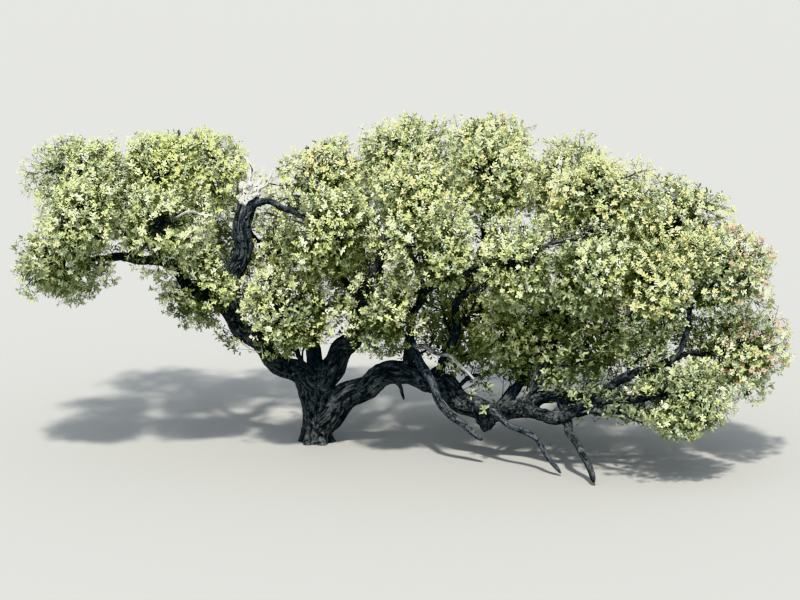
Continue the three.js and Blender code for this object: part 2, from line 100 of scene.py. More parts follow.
# Each limb: its name, what it grows from and how far along that, the heading that it leaves with (degrees
# round from +X towards +Y, degrees above the level), its tip, the heading there, and its two radii.
LIMBS = (
    ("left_bough", "trunk", 0.78, (178, 33), (-3.5, 0.3, 5.55), (165, 66), (0.42, 0.35)),
    ("snag", "left_bough", 1, (-10, 72), (-2.6, 0.6, 10.25), (-5, 74), (0.34, 0.4)),
    ("snag_hook", "snag", 0.87, (-15, 48), (-0.47, 0.0, 9.25), (-10, -24), (0.165, 0.095)),
    ("left_arm", "left_bough", 0.86, (190, 44), (-8.1, -1.5, 7.93), (188, -8), (0.26, 0.165)),
    ("left_crook", "left_arm", 0.8, (150, 66), (-9.3, -2.2, 10.3), (190, 12), (0.13, 0.085)),
    ("left_spur", "left_arm", 0.42, (160, 62), (-6.0, -1.5, 9.7), (175, 76), (0.125, 0.085)),
    ("left_back", "left_bough", 0.97, (125, 40), (-5.9, 3.4, 9.0), (150, 45), (0.22, 0.12)),
    ("middle_bough", "trunk", 0.8, (5, 40), (2.48, 1.0, 7.02), (25, 66), (0.49, 0.29)),
    ("middle_top", "middle_bough", 1, (25, 66), (3.74, 2.4, 9.7), (25, 60), (0.255, 0.13)),
    ("back_bough", "trunk", 0.86, (95, 42), (-0.3, 3.9, 6.9), (100, 48), (0.33, 0.185)),
    ("great_limb_rise", "trunk", 0.2, (-5, 42), (3.75, -1.0, 3.15), (-18, 2), (0.55, 0.45)),
    ("great_limb_dip", "great_limb_rise", 1, (-18, 0), (6.88, -2.4, 1.85), (-24, -12), (0.46, 0.42)),
    ("low_run", "great_limb_dip", 1, (-24, 0), (13.57, -5.0, 3.35), (-4, 8), (0.31, 0.13)),
    ("upper_run", "great_limb_dip", 0.7, (-20, -4), (13.97, -4.2, 4.52), (4, 26), (0.28, 0.155)),
    ("right_rise", "upper_run", 1, (4, 34), (14.72, -3.5, 6.5), (15, 70), (0.145, 0.095)),
    ("right_riser", "upper_run", 0.34, (70, 68), (10.1, -2.4, 6.1), (-70, 62), (0.15, 0.095)),
    ("right_back", "upper_run", 0.2, (60, 46), (12.3, 2.1, 6.5), (30, 48), (0.205, 0.115)),
    ("down_limb", "upper_run", 0.47, (-80, -46), (10.85, -6.2, 0.13), (-58, -52), (0.2, 0.12)),
    ("prop_limb", "great_limb_dip", 0.84, (-75, 16), (9.65, -4.9, 0.11), (-35, -58), (0.165, 0.09)),
    ("s_limb", "great_limb_dip", 0.06, (110, 80), (4.36, -1.8, 6.7), (-20, 62), (0.205, 0.135)),
    ("s_left", "s_limb", 1, (170, 68), (3.67, -2.3, 8.6), (170, 52), (0.115, 0.08)),
    ("s_right", "s_limb", 1, (0, 26), (7.3, -2.4, 8.05), (0, 18), (0.125, 0.08)),
    ("hanging_limb", "s_limb", 0.32, (-75, -8), (6.65, -3.5, 1.05), (-14, -26), (0.2, 0.13)),
    ("centre_riser", "great_limb_dip", 0.42, (60, 78), (6.7, 0.5, 7.9), (40, 64), (0.185, 0.12)),
    ("long_branch", "centre_riser", 0.62, (-30, 34), (10.9, -1.5, 8.9), (6, 12), (0.125, 0.08)),
    ("centre_back", "centre_riser", 0.84, (80, 44), (8.0, 4.1, 9.0), (50, 38), (0.13, 0.085)),
)

# Smaller limbs and stubs that only the skin shows, in the same form: the snag's torn top, stubs and hangers,
# the tangle among and behind the low runs, leafy branches between the masses, and bare twigs.
SMALL_LIMBS = (
    ("spike", "snag", 0.98, (60, 80), (-2.84, 0.7, 11.64), (184, 46), (0.15, 0.03)),
    ("prong", "snag", 0.97, (-5, 22), (-1.69, 0.4, 11.16), (0, 78), (0.14, 0.03)),
    ("torn_edge", "snag", 0.94, (180, 58), (-2.98, 0.5, 10.62), (175, 78), (0.27, 0.11)),
    ("torn_front", "snag", 0.95, (-95, 62), (-2.6, 0.2, 10.7), (-95, 84), (0.26, 0.09)),
    ("torn_back", "snag", 0.95, (40, 60), (-2.2, 0.85, 10.72), (40, 84), (0.25, 0.08)),
    ("knuckle", "great_limb_dip", 0.98, (-40, -70), (6.9, -2.6, 1.2), (-40, -84), (0.42, 0.16)),
    ("pale_stub", "s_limb", 0.24, (-60, 34), (6.3, -3.2, 3.45), (-20, -50), (0.12, 0.05)),
    ("curved_branch", "low_run", 0.42, (-40, 48), (11.35, -4.9, 2.5), (-10, -48), (0.07, 0.035)),
    ("curved_branch_two", "upper_run", 0.5, (-50, 40), (12.0, -5.0, 3.0), (-20, -44), (0.065, 0.03)),
    ("low_fork", "low_run", 0.6, (-50, 10), (12.7, -5.8, 2.4), (-30, -12), (0.1, 0.05)),
    ("far_hanger", "upper_run", 0.95, (10, -10), (15.9, -4.4, 3.0), (-10, -62), (0.06, 0.03)),
    ("under_stub", "great_limb_rise", 0.86, (-60, -50), (3.55, -1.35, 2.05), (-100, -80), (0.12, 0.05)),
    ("dead_stick", "left_spur", 0.8, (-80, 40), (-3.75, -4.0, 10.15), (5, -8), (0.08, 0.03)),
    ("low_twist", "low_run", 0.5, (60, -20), (12.3, -3.9, 1.9), (-20, -30), (0.09, 0.035)),
    ("low_twist_two", "low_run", 0.72, (40, 24), (14.3, -3.9, 2.6), (-10, -20), (0.09, 0.035)),
    ("drooper", "upper_run", 0.7, (-90, 14), (13.1, -5.4, 2.5), (-30, -62), (0.07, 0.03)),
    ("cross_branch", "upper_run", 0.3, (-10, 56), (11.3, -4.2, 4.3), (-20, -24), (0.09, 0.035)),
    ("tangle_near", "great_limb_dip", 0.3, (75, 40), (6.5, 0.2, 3.7), (10, 10), (0.1, 0.04)),
    ("tangle_middle", "great_limb_dip", 0.6, (70, 30), (8.4, -0.2, 3.1), (20, -10), (0.1, 0.04)),
    ("tangle_low", "upper_run", 0.16, (80, 16), (9.9, -0.6, 2.7), (-10, -14), (0.09, 0.035)),
    ("tangle_far", "low_run", 0.3, (70, 24), (11.4, -1.7, 2.5), (-10, 10), (0.09, 0.035)),
    ("leafy_front", "right_riser", 0.5, (180, 50), (9.3, -2.2, 6.7), (150, 40), (0.08, 0.035)),
    ("leafy_fork", "back_bough", 0.55, (-50, 40), (1.1, 1.5, 5.7), (-20, 50), (0.08, 0.035)),
    ("leafy_middle", "centre_riser", 0.35, (190, 40), (4.9, 0.3, 5.9), (160, 50), (0.08, 0.035)),
    ("leafy_low", "great_limb_dip", 0.12, (100, 70), (4.9, 0.6, 4.5), (60, 70), (0.08, 0.035)),
    ("leafy_right", "upper_run", 0.8, (90, 40), (14.2, -1.6, 4.9), (60, 50), (0.08, 0.035)),
    ("leafy_rear", "right_back", 0.95, (0, 60), (12.0, 2.5, 9.4), (60, 70), (0.08, 0.035)),
    ("bare_twig", "long_branch", 0.8, (-30, 30), (12.0, -2.7, 9.6), (10, 30), (0.06, 0.02)),
    ("bare_twig_low", "long_branch", 0.66, (-40, -20), (10.9, -3.2, 7.7), (-20, -50), (0.06, 0.02)),
    ("bare_twig_high", "long_branch", 0.6, (-50, 40), (10.6, -3.3, 9.9), (0, 60), (0.05, 0.02)),
)

# What each skin covers, and the grid that it is drawn on.
MAIN_WOOD = ("trunk", "left_bough", "middle_bough", "back_bough", "great_limb_rise", "great_limb_dip",
             "knuckle")
SNAG_TOP = ("spike", "prong", "torn_edge", "torn_front", "torn_back")
SNAG_WOOD = ("snag", "snag_hook", *SNAG_TOP)
BARE_TWIGS = ("bare_twig", "bare_twig_low", "bare_twig_high")
DEAD_WOOD = ("hanging_limb", "prop_limb", "pale_stub", "dead_stick", *BARE_TWIGS)
BROKEN = ("hanging_limb", "prop_limb", "down_limb", "under_stub", "snag_hook")
MAIN_GRID = 0.033
LIMB_GRID = 0.04
DEAD_GRID = 0.022
RING_STEP = 0.12
TUBE_SIDES = 28
RING_ANGLES = np.arange(TUBE_SIDES) * 2 * math.pi / TUBE_SIDES
SKIN_SMOOTHING = 4

# How bare of bark the dead pieces are, and the heights between which the snag loses its own bark. The edge of
# that is ragged.
BARE_SHARES = {**dict.fromkeys(SNAG_TOP, 1), **dict.fromkeys(BARE_TWIGS, 0.3), "pale_stub": 0.4,
               "dead_stick": 0.85}
SNAG_BARE = (9.65, 9.95)
RAGGED_BY = 0.35
RAGGED_SIZE = (0.12, 0.12, 0.4)

# The relief of the skins: how deep the furrows and how high the lumps are on each, and never more than these
# shares of the radius. Furrows and checks are a share of the radius apart, between two limits. Their shape is
# their length, how far they sway, over what reach, and their width. It is in those spacings, as are the sizes
# of cracks, plates and fibres.
MAIN_RELIEF = (0.045, 0.035)
LIMB_RELIEF = (0.035, 0.03)
SNAG_RELIEF = (0.05, 0.04)
DEAD_RELIEF = (0.03, 0.02)
RELIEF_SHARES = (0.16, 0.12)
RELIEF_MIDDLE = 0.6  # what lies lower than this is cut in, and the rest stands out
FURROW_SPACING = (0.22, 0.05, 0.1)
FURROW_SHAPE = (4.5, 0.45, 0.8, 0.2)
CRACK_SPACING = (0.8, 0.8, 0.9)
CRACK_WIDTH = 0.13
PLATES = 1.7
CHECK_SPACING = (0.26, 0.035, 0.09)
CHECK_SHAPE = (14, 0.35, 0.9, 0.17)
FIBRE_SPACING = (0.5, 0.5, 9)
LUMPS = (0.55, 0.24)
LIMB_APART = 20  # how far one limb's pattern starts from the last one's

# Each mass of foliage: its name, the limb whose tip its stem grows from, the middle of its space, and how far
# that reaches along X, Y and Z before it swells. A stem that comes out of a side says how far along and with
# which heading.
MASSES = (
    ("far_left", "left_arm", (-9.7, -2.3, 8.0), (2.0, 2.0, 1.5)),
    ("left_top", "left_crook", (-9.2, -0.3, 11.0), (2.15, 2.1, 1.65)),
    ("left_front", "left_crook", (-8.9, -3.3, 9.9), (1.9, 1.5, 1.5)),
    ("left_middle", "left_spur", (-5.9, -2.8, 9.4), (1.95, 1.6, 1.5)),
    ("left_high", "left_spur", (-6.1, -0.1, 11.2), (1.95, 1.9, 1.5)),
    ("left_inner", "left_bough", (-4.5, -1.5, 6.9), (1.7, 1.4, 2.0), 0.95, (-110, 20)),
    ("left_near_top", "left_back", (-4.6, 2.3, 10.8), (1.7, 1.8, 1.6)),
    ("left_rear", "left_back", (-7.5, 4.7, 9.3), (2.7, 2.3, 2.35)),
    ("crotch_front", "trunk", (-1.1, -1.6, 5.7), (2.0, 1.5, 1.65), 0.86, (-100, 20)),
    ("middle_front", "middle_bough", (0.5, -1.8, 9.1), (2.7, 1.7, 1.6), 0.7, (200, 62)),
    ("middle_crown", "middle_top", (3.6, 2.2, 11.2), (2.2, 2.1, 1.6)),
    ("middle_rear", "middle_top", (3.3, 5.4, 10.1), (2.3, 2.0, 1.9)),
    ("middle_high", "back_bough", (0.4, 2.0, 10.3), (1.9, 1.9, 1.6)),
    ("back_left", "back_bough", (-2.7, 5.3, 7.2), (2.3, 2.0, 2.7)),
    ("back_right", "back_bough", (1.2, 5.9, 7.0), (2.1, 1.9, 2.6)),
    ("hanging_clump", "s_limb", (2.8, -2.9, 6.0), (1.35, 1.25, 1.6)),
    ("s_top", "s_left", (4.0, -1.3, 10.3), (1.9, 1.8, 1.5)),
    ("s_front", "s_left", (4.7, -3.7, 8.7), (1.7, 1.4, 1.5)),
    ("right_front", "s_right", (7.9, -3.3, 8.0), (1.9, 1.6, 1.5)),
    ("centre_top", "centre_riser", (7.0, 0.3, 10.9), (2.1, 2.0, 1.6)),
    ("rear_top", "centre_back", (7.1, 4.7, 11.0), (2.2, 2.2, 1.7)),
    ("rear_right", "centre_back", (10.5, 4.9, 9.7), (2.2, 2.3, 1.9)),
    ("long_end", "long_branch", (11.3, -0.3, 10.2), (2.2, 2.1, 1.7)),
    ("riser_front", "right_riser", (10.6, -3.6, 7.9), (1.9, 1.6, 1.6)),
    ("riser_low", "right_riser", (8.5, -1.4, 5.0), (2.0, 1.6, 1.8)),
    ("rear_low", "centre_riser", (6.6, 3.5, 4.8), (2.6, 2.1, 2.4), 0.3, (75, 12)),
    ("right_low", "right_back", (11.6, 2.3, 4.0), (2.6, 2.0, 2.0), 0.5, (60, -5)),
    ("right_middle", "right_rise", (13.3, -3.5, 7.3), (1.9, 1.7, 1.8)),
    ("right_top", "right_rise", (16.0, -3.0, 7.7), (2.0, 1.9, 1.7)),
    ("right_crown", "right_back", (14.5, 0.9, 8.9), (2.3, 2.1, 1.9)),
    ("right_rear", "right_back", (13.5, 4.0, 7.4), (2.4, 2.3, 2.6)),
    ("far_right", "upper_run", (16.7, -2.5, 4.5), (1.8, 2.0, 1.8)),
    ("low_end", "low_run", (14.3, -5.3, 3.2), (2.1, 1.7, 1.4)),
)
SPACE_FILL = (1.28, 1.28, 1.2)
SPACE_MARGIN = 0.01
STEM_REACH = 0.5
STEM_TIP_RADIUS = 0.03
STEM_SHARE = 0.8
STEM_MOST = 0.14
STEM_STEPS = 12
STEM_TURN = 2  # how much more a stem heads for the middle of its mass than on from its limb's tip
MASS_TURN = 1.7
TWIG_TURN_CHANCE = 0.8
TWIG_STARTS = (0.3, 0.95)
STEM_FOLLOWS = 0.5  # how far a boughlet first goes the way of its stem

# The spaces run into each other where they meet, so the crown has no creases, and its surface is lumpy.
MERGE = 3.6
MERGE_REACH = 1.45
EDGE_STEPS = 8  # how many halvings find the edge
LUMP_SIZE = 1.1
LUMP_DEPTH = 0.4
LUMP_RAISE = 0.1

# Growth past the stem: boughlets, branchlets round the tip of each, and shoots round the tips of those.
BOUGHLETS = 24
BOUGHLET_REACH = (0.46, 0.86)
BOUGHLET_RADII = (0.042, 0.016)
BOUGHLET_STEPS = 5
BRANCHLETS = 6
BRANCHLET_REACH = 0.31
BRANCHLET_LIMIT = 0.95
BRANCHLET_RADII = (0.015, 0.007)
BRANCHLET_STEPS = 2
SHOOTS = 4
SHOOT_REACH = 0.42
SHOOT_RADII = (0.008, 0.003)
SHOOT_STEPS = 1
TWIG_SIDES = {"boughlets": 4, "branchlets": 3, "shoots": 3}
FAN_TILTS = (12, 112)  # degrees off the heading of what they grow round, first and last
FAN_STARTS = (0.96, 0.45)
FAN_LENGTHS = (0.8, 1.15)
TWIG_FOLLOWS = 0.6  # how far a twig first goes the way of what it grows round
TWIG_RISE = 0.3  # and how far its tip turns up
CLUMP_REACH = (0.74, 1.02)  # how far a boughlet's clump may go, of the way to the edge of the space
CLUMP_EASE = 0.8  # past this share of that, its twigs crowd together, the less the larger the next number
CLUMP_CROWDING = 0.3
INNER_BOUGHLETS = 8
INNER_REACH = (0.2, 0.45)
OPEN_SHARE = 0.8  # a boughlet with less open room than this grows into its neighbours' shade
SHADED_KEPT = 0.48
WOOD_CLEARANCE = 0.12

# Limbs that carry leafy branchlets along their length: the share that they start from, how many a metre, and
# the share that they end at where that isn't the tip. A limb's place in the list seeds its branchlets.
LEAFY_LIMBS = {
    "upper_run": (0.25, 4), "low_run": (0.3, 4), "right_riser": (0.2, 3), "right_back": (0.2, 3),
    "right_rise": (0.1, 3), "centre_riser": (0.12, 3), "s_limb": (0.2, 2.5), "middle_bough": (0.35, 3),
    "middle_top": (0.1, 2), "left_arm": (0.3, 1.5), "left_crook": (0.2, 2), "left_spur": (0.2, 2),
    "left_bough": (0.45, 5), "left_back": (0.04, 4), "back_bough": (0.2, 3), "long_branch": (0.2, 4),
    "centre_back": (0.2, 3), "great_limb_dip": (0.25, 3, 0.9), "low_fork": (0.3, 4),
    "curved_branch": (0.5, 3), "tangle_near": (0.2, 7), "tangle_middle": (0.2, 7), "tangle_low": (0.2, 7),
    "tangle_far": (0.2, 6), "leafy_front": (0.2, 8), "leafy_rear": (0.3, 8), "leafy_fork": (0.2, 9),
    "leafy_middle": (0.3, 9), "leafy_low": (0.2, 9), "leafy_right": (0.2, 8), "low_twist": (0.3, 4),
    "low_twist_two": (0.3, 5), "drooper": (0.3, 4), "cross_branch": (0.3, 4),
}
LEAFY_LENGTHS = (0.45, 1.1)
LEAFY_RADII = (0.02, 0.008)
LEAFY_STEPS = 3
LEAFY_FOLLOWS = 0.5
LEAFY_RISE = 0.45

# Limbs that show on the open side: leaves in front of them keep this far off their sides.
OPEN_LIMBS = {
    "snag": 0.4, "snag_hook": 0.28, "spike": 0.4, "prong": 0.4, "left_arm": 0.14, "s_limb": 0.14,
    "s_left": 0.1, "s_right": 0.1, "long_branch": 0.1, "hanging_limb": 0.3, "great_limb_rise": 0.1,
    "dead_stick": 0.25, "great_limb_dip": 0.12, "middle_bough": 0.02, "upper_run": 0.1, "low_run": 0.1,
    "down_limb": 0.25, "prop_limb": 0.2, "right_rise": 0.06, "left_bough": 0.04, "trunk": 0.3,
    "bare_twig": 0.12, "bare_twig_high": 0.1,
}
OPEN_FROM = {"snag": 0.45}  # the share of its length from which it shows
ALWAYS_OPEN = ("snag", "snag_hook", "spike", "prong", "trunk", "dead_stick")
CROSSING = 0.22  # how many of the sprays in front of the other ones stay
IN_FRONT = 0.1  # a spray counts as in front up to this far behind the middle of a limb

# Masses that hang in the shade of the crown above them, and how many of their sprays are darker for it.
OVERHUNG = ("low_end", "rear_low", "right_low", "riser_low")
OVERHUNG_SHARE = 0.35

# Masses and leafy limbs that the light gets into from more sides, so the leaves in their shade are lighter.
AIRY = ("far_left", "left_top", "left_front", "left_middle", "left_high", "left_near_top", "middle_crown",
        "centre_top", "rear_top", "rear_right", "long_end", "s_top", "riser_front", "right_middle",
        "right_top", "right_crown", "right_front", "far_right", "low_end", "riser_low", "low_run",
        "upper_run", "great_limb_dip",
        *(name for name in LEAFY_LIMBS if name.startswith(("tangle_", "leafy_"))))

# The upper crown is touched with gold, a clump by the snag's top is fresh yellow-green, and the tips at the
# far right are bronze: the masses, and how many of their sprays in the open (and in the shade) are so.
UPPER = ("middle_crown", "middle_rear", "middle_high", "centre_top", "rear_top", "rear_right", "long_end",
         "s_top", "right_crown", "right_top", "right_middle")
GOLDEN_SHARE = 0.28
FRESH = ("left_near_top", "left_high")
FRESH_FROM_X = -6.5
FRESH_SHARES = (0.62, 0.25)
BRONZE = ("far_right", "right_top")
BRONZE_FROM_X = 16
BRONZE_SHARE = 0.22

# Sprays face the way of their shoot, out of their mass, up to the light and a little at random, by weights.
FACING = (0.45, 0.6, 0.55, 0.3)
UNDERSIDE = -0.45  # a spray that looks further down than this is in the shade

# Leaves: an outline with a lobe and a notch on one side and a notch and a lobe on the other, as shares of the
# length along it and out from its rib, with the sides folded up. They are larger than life, because leaves of
# the real size would be too many and too fine to show.
LEAF_LOBES = (((0.4, 0.26), (0.56, 0.15)), ((0.45, 0.15), (0.72, 0.29)))
LEAF_FOLD = 0.25
LEAF_DROOP = 0.16
LEAF_LENGTH = 0.14
LEAF_LENGTHS = (0.75, 1.15)
LEAF_TURN_CHANCE = 0.7
LEAF_ROLL_CHANCE = 0.9
SPRAY_LEAVES = 11
SPRAY_DEPTH = 0.27
SPRAY_TILTS = (15, 95)
SPRAY_CROWDING = 1.5  # how much nearer together the leaves are at the tip
SPRAY_SIZES = (0.8, 1.2)
SPRAY_KINDS = 8
LOWEST_LEAF = 0.35
SEED = 11

# Sprays deep in the shade have fewer and larger leaves, which fill the crown behind the fine ones. The shares
# say how many take the darker of two tints: in the shade at the edge, deep in it, and deep in an airy mass.
SHADE_LEAF_LENGTH = 0.24
SHADE_LEAVES = 7
DARKER_SHARE = 0.5
DEEP_SHARE = 0.6
AIRY_DEEP_SHARE = 0.15

# The view: from the open side and a little above, as wide as the whole tree.
VIEW_ABOVE = 13
VIEW_DISTANCE = 100
VIEW_MIDDLE = (3.4, 0, 5.9)
VIEW_WIDTH = 32.2
VIEW_END = 2000
SENSOR_WIDTH = 36
SUN_ABOVE = 63
SUN_AROUND = -95
SUN_STRENGTH = 5.6
SUN_WIDTH = 4
SUN_COLOUR = (1, 0.97, 0.9)
SKY_COLOUR = (0.82, 0.9, 1, 1)
SKY_STRENGTH = 1.4
FLOOR_SIZE = 800
FLOOR_COLOUR = "959490"


def unit(vectors):
    return vectors / np.maximum(np.linalg.norm(vectors, axis=-1, keepdims=True), 1e-9)


def heading(around, above):
    a, e = math.radians(around), math.radians(above)
    return np.array((math.cos(a) * math.cos(e), math.sin(a) * math.cos(e), math.sin(e)))


def chance(seed, step):
    """Numbers from 0 to 1 that depend only on their two seeds."""
    wave = np.sin(np.asarray(seed) * 12.9898 + np.asarray(step) * 78.233) * 43758.5453
    return wave - np.floor(wave)


def blend(low, high, share):
    return low + (high - low) * share


def lengths(vectors):
    return np.linalg.norm(vectors, axis=-1)


def ease(value, low, high):
    """0 at low, 1 at high, and smooth between them."""
    t = np.clip((value - low) / (high - low), 0, 1)
    return t * t * (3 - 2 * t)


class Curves:
    """Curves from one point and heading to another, which wander a little to both sides on their way."""

    def __init__(self, start, leaves, end, arrives, phase, wander=WANDER):
        self.start, self.end = np.atleast_2d(start), np.atleast_2d(end)
        chord = self.end - self.start
        self.length = lengths(chord)
        self.pull = np.atleast_2d(leaves) * self.length[:, None] * SWEEP
        self.push = np.atleast_2d(arrives) * self.length[:, None] * SWEEP
        self.side = unit(np.cross(chord, UP))
        self.lift = unit(np.cross(self.side, chord))
        self.phase = np.atleast_1d(phase)
        self.wander = wander

    def at(self, shares):
        """The points at some shares of the way: a row for each curve."""
        t = np.broadcast_to(shares, (len(self.start), np.shape(shares)[-1]))[..., None]
        sway = self.wander * self.length[:, None, None] * np.sin(np.pi * t)
        phase = self.phase[:, None, None]
        sideways, upwards = WANDER_WAVES
        places = self.start[:, None] * (2 * t**3 - 3 * t**2 + 1) + self.pull[:, None] * (t**3 - 2 * t**2 + t)
        places = places + self.end[:, None] * (3 * t**2 - 2 * t**3) + self.push[:, None] * (t**3 - t**2)
        places = places + self.side[:, None] * sway * np.sin(sideways * np.pi * t + phase)
        return places + self.lift[:, None] * sway * np.sin(upwards * np.pi * t + LIFT_PHASE * phase)


def lattice_noise(places, seed=0):
    """Smooth noise from -1 to 1 with features about one unit across."""
    cell = np.floor(places).astype(np.int64)
    part = places - cell
    fade = part * part * part * (part * (part * 6 - 15) + 10)
    total = np.zeros(len(places))
    for corner in np.ndindex(2, 2, 2):
        x, y, z = (cell + corner).T
        code = (x * 73856093 ^ y * 19349663 ^ z * 83492791 ^ seed * 2654435761) & 0xFFFFFFFF
        code = ((code ^ (code >> 15)) * 2246822519) & 0xFFFFFFFF
        code = ((code ^ (code >> 13)) * 3266489917) & 0xFFFFFFFF
        value = (code ^ (code >> 16)) / 0xFFFFFFFF * 2 - 1
        total += value * np.prod(np.where(corner, fade, 1 - fade), axis=1)
    return total


def noise_vectors(places, seed):
    """A vector of smooth noise at each place."""
    return np.stack([lattice_noise(places, seed + i) for i in range(3)], axis=1)


def creases(places, seed, width):
    """1 along the lines of creases in a pattern of smooth noise, and 0 away from them."""
    return np.exp(-(lattice_noise(places, seed) / width) ** 2)


def node(tree, kind, links=None, **settings):
    """Adds a node: its settings, and its inputs as values or as the sockets that feed them."""
    made = tree.nodes.new(kind)
    for name, value in settings.items():
        setattr(made, name, value)
    for name, value in (links or {}).items():
        if isinstance(value, bpy.types.NodeSocket):
            tree.links.new(value, made.inputs[name])
        else:
            made.inputs[name].default_value = value
    return made


def linear(code):
    """The linear colour of an sRGB hex value."""
    channels = [int(code[i:i + 2], 16) / 255 for i in (0, 2, 4)]
    return (*(c / 12.92 if c <= 0.04045 else ((c + 0.055) / 1.055) ** 2.4 for c in channels), 1)


def new_finish(name, roughness, specular):
    finish = bpy.data.materials.new(name)
    finish.use_nodes = True
    shader = finish.node_tree.nodes["Principled BSDF"]
    shader.inputs["Roughness"].default_value = roughness
    shader.inputs["Specular IOR Level"].default_value = specular
    return finish, finish.node_tree, shader


def ramp(tree, value, *stops):
    """A colour for each share of a value: stops are places and sRGB hex colours."""
    made = node(tree, "ShaderNodeValToRGB", {"Fac": value})
    elements = made.color_ramp.elements
    while len(elements) < len(stops):
        elements.new(0.5)
    for element, (place, code) in zip(elements, stops):
        element.position = place
        element.color = linear(code)
    return made.outputs["Color"]


def patches(tree, size_mm, detail, stretch=(1, 1, 1)):
    """Cloudy noise from 0 to 1 whose patches are about the given size."""
    place = node(tree, "ShaderNodeTexCoord").outputs["Object"]
    scaled = node(tree, "ShaderNodeMapping", {"Vector": place, "Scale": stretch})
    links = {"Vector": scaled.outputs["Vector"], "Scale": 1 / (size_mm * MM), "Detail": detail}
    return node(tree, "ShaderNodeTexNoise", links).outputs["Fac"]


def mix(tree, share, first, second):
    return node(tree, "ShaderNodeMix", {0: share, 6: first, 7: second}, data_type="RGBA").outputs[2]


def of_skin(tree, name):
    """A value that a skin carries at its points."""
    return node(tree, "ShaderNodeAttribute", attribute_name=name).outputs["Fac"]


def paint(tree, shader, colour, grain, height_mm):
    """Gives a finish its colour and the fine bumps of its grain."""
    bump = node(tree, "ShaderNodeBump", {"Strength": 0.5, "Distance": height_mm * MM, "Height": grain})
    tree.links.new(colour, shader.inputs["Base Color"])
    tree.links.new(bump.outputs["Normal"], shader.inputs["Normal"])


# Old oak bark: corky, deeply furrowed and dry, so it has hardly any gloss. The furrows are near black, the
# bark's own dark tone deepened by painted shade, and the ridges weather to a cool grey-brown, lifted by a
# painted highlight.
# Grey lichen lies on the ridges in patches a hand or two across.
def oak_bark():
    finish, tree, shader = new_finish("old_oak_bark", 0.92, 0.25)
    ridge = of_skin(tree, "ridge")
    # Painted shade in the furrows and a painted highlight on the ridges, by the height of the relief.
    body = ramp(tree, ridge, (0.1, "131415"), (0.5, "2b2e30"), (0.8, "424546"), (1.0, "5c5e5d"))
    lichen = ramp(tree, patches(tree, 260, 6), (0.54, "000000"), (0.72, "ffffff"))
    on_ridges = node(tree, "ShaderNodeMath", {0: lichen, 1: ridge}, operation="MULTIPLY").outputs[0]
    colour = mix(tree, on_ridges, body, linear("6a6d68"))
    paint(tree, shader, colour, patches(tree, 14, 4), 6)
    return finish


# Dead oak: where the bark is gone, heartwood bleached silver by years of sun, matt and split along the grain,
# and dark in the checks, partly with rot and partly with painted shade. Elsewhere the old bark clings to it,
# dark and bluish, mottled with pale lichen, with painted shade in its furrows and a painted highlight on its
# ridges.
def dead_oak():
    finish, tree, shader = new_finish("weathered_dead_oak", 0.85, 0.3)
    ridge = of_skin(tree, "ridge")
    # Dark down in the checks: rot and painted shade, by the height of the relief.
    silver = ramp(tree, ridge, (0.1, "2b2926"), (0.4, "8d8981"), (0.65, "d9d6ce"), (1.0, "f4f2ec"))
    # Painted shade in the clinging bark's furrows and a painted highlight on its ridges.
    clinging = ramp(tree, ridge, (0.15, "15181a"), (0.55, "313539"), (1.0, "535a5d"))
    mottle = ramp(tree, patches(tree, 110, 5, (1, 1, 0.6)), (0.6, "000000"), (0.76, "ffffff"))
    mottled = mix(tree, mottle, clinging, linear("797c78"))
    colour = mix(tree, of_skin(tree, "bare"), mottled, silver)
    paint(tree, shader, colour, patches(tree, 12, 4, (1, 1, 0.3)), 5)
    return finish


# Twig bark: thin, smooth and dark grey-brown, with no furrows yet.
def twig_bark():
    finish, tree, shader = new_finish("twig_bark", 0.8, 0.3)
    colour = ramp(tree, patches(tree, 120, 3), (0.3, "1f2122"), (0.7, "363839"))
    tree.links.new(colour, shader.inputs["Base Color"])
    return finish


# Fresh oak leaves: a thin waxy skin, so semi-matt. Each tint is one plain colour, dealt out by the spray. The
# tints are partly the leaves' own spread of greens and partly painted light: the sunlit, sunny and pale tints
# of sprays in the open are painted sunlight, and the darker tints that sprays in the shade take are painted
# shade.
LEAF_TINTS = {
    "sunlit": "e2e3b4",
    "sunny": "ced493",
    "pale": "eceed0",
    "green": "b3b982",
    "cool": "adb893",
    "olive": "9ba273",
    "deep": "757e58",
    "dark": "5b6449",
    "dusky": "8d966f",
    "golden": "ddd89f",
    "fresh": "dade98",
    "bronze": "c6ab8a",
}
OPEN_TINTS = ("sunlit", "sunny", "pale", "green", "cool", "olive")
OPEN_STEPS = (0.25, 0.45, 0.62, 0.8, 0.91)
# The darkest tints: painted shade deep inside the crown.
SHADE_TINTS = ("dark", "dusky")


def leaf_finish(tint):
    finish, _, shader = new_finish(f"oak_leaf_{tint}", 0.5, 0.4)
    shader.inputs["Base Color"].default_value = linear(LEAF_TINTS[tint])
    return finish


def add_object(name, data):
    made = bpy.data.objects.new(name, data)
    bpy.context.scene.collection.objects.link(made)
    return made


def new_piece(name, places, edges=(), faces=(), finish=None):
    mesh = bpy.data.meshes.new(name)
    mesh.from_pydata(np.asarray(places), edges, faces)
    if finish:
        mesh.materials.append(finish)
    return add_object(name, mesh)


def set_attribute(mesh, name, values):
    values = np.asarray(values, dtype=np.float32)
    kind, field = ("FLOAT_VECTOR", "vector") if values.ndim == 2 else ("FLOAT", "value")
    attribute = mesh.attributes.new(name, kind, "POINT")
    attribute.data.foreach_set(field, values.ravel())


def settle(piece):
    """Turns a piece's modifiers into its mesh."""
    graph = bpy.context.evaluated_depsgraph_get()
    made = bpy.data.meshes.new_from_object(piece.evaluated_get(graph), depsgraph=graph)
    piece.modifiers.clear()
    old = piece.data
    piece.data = made
    made.name = piece.name
    bpy.data.meshes.remove(old)
    return piece


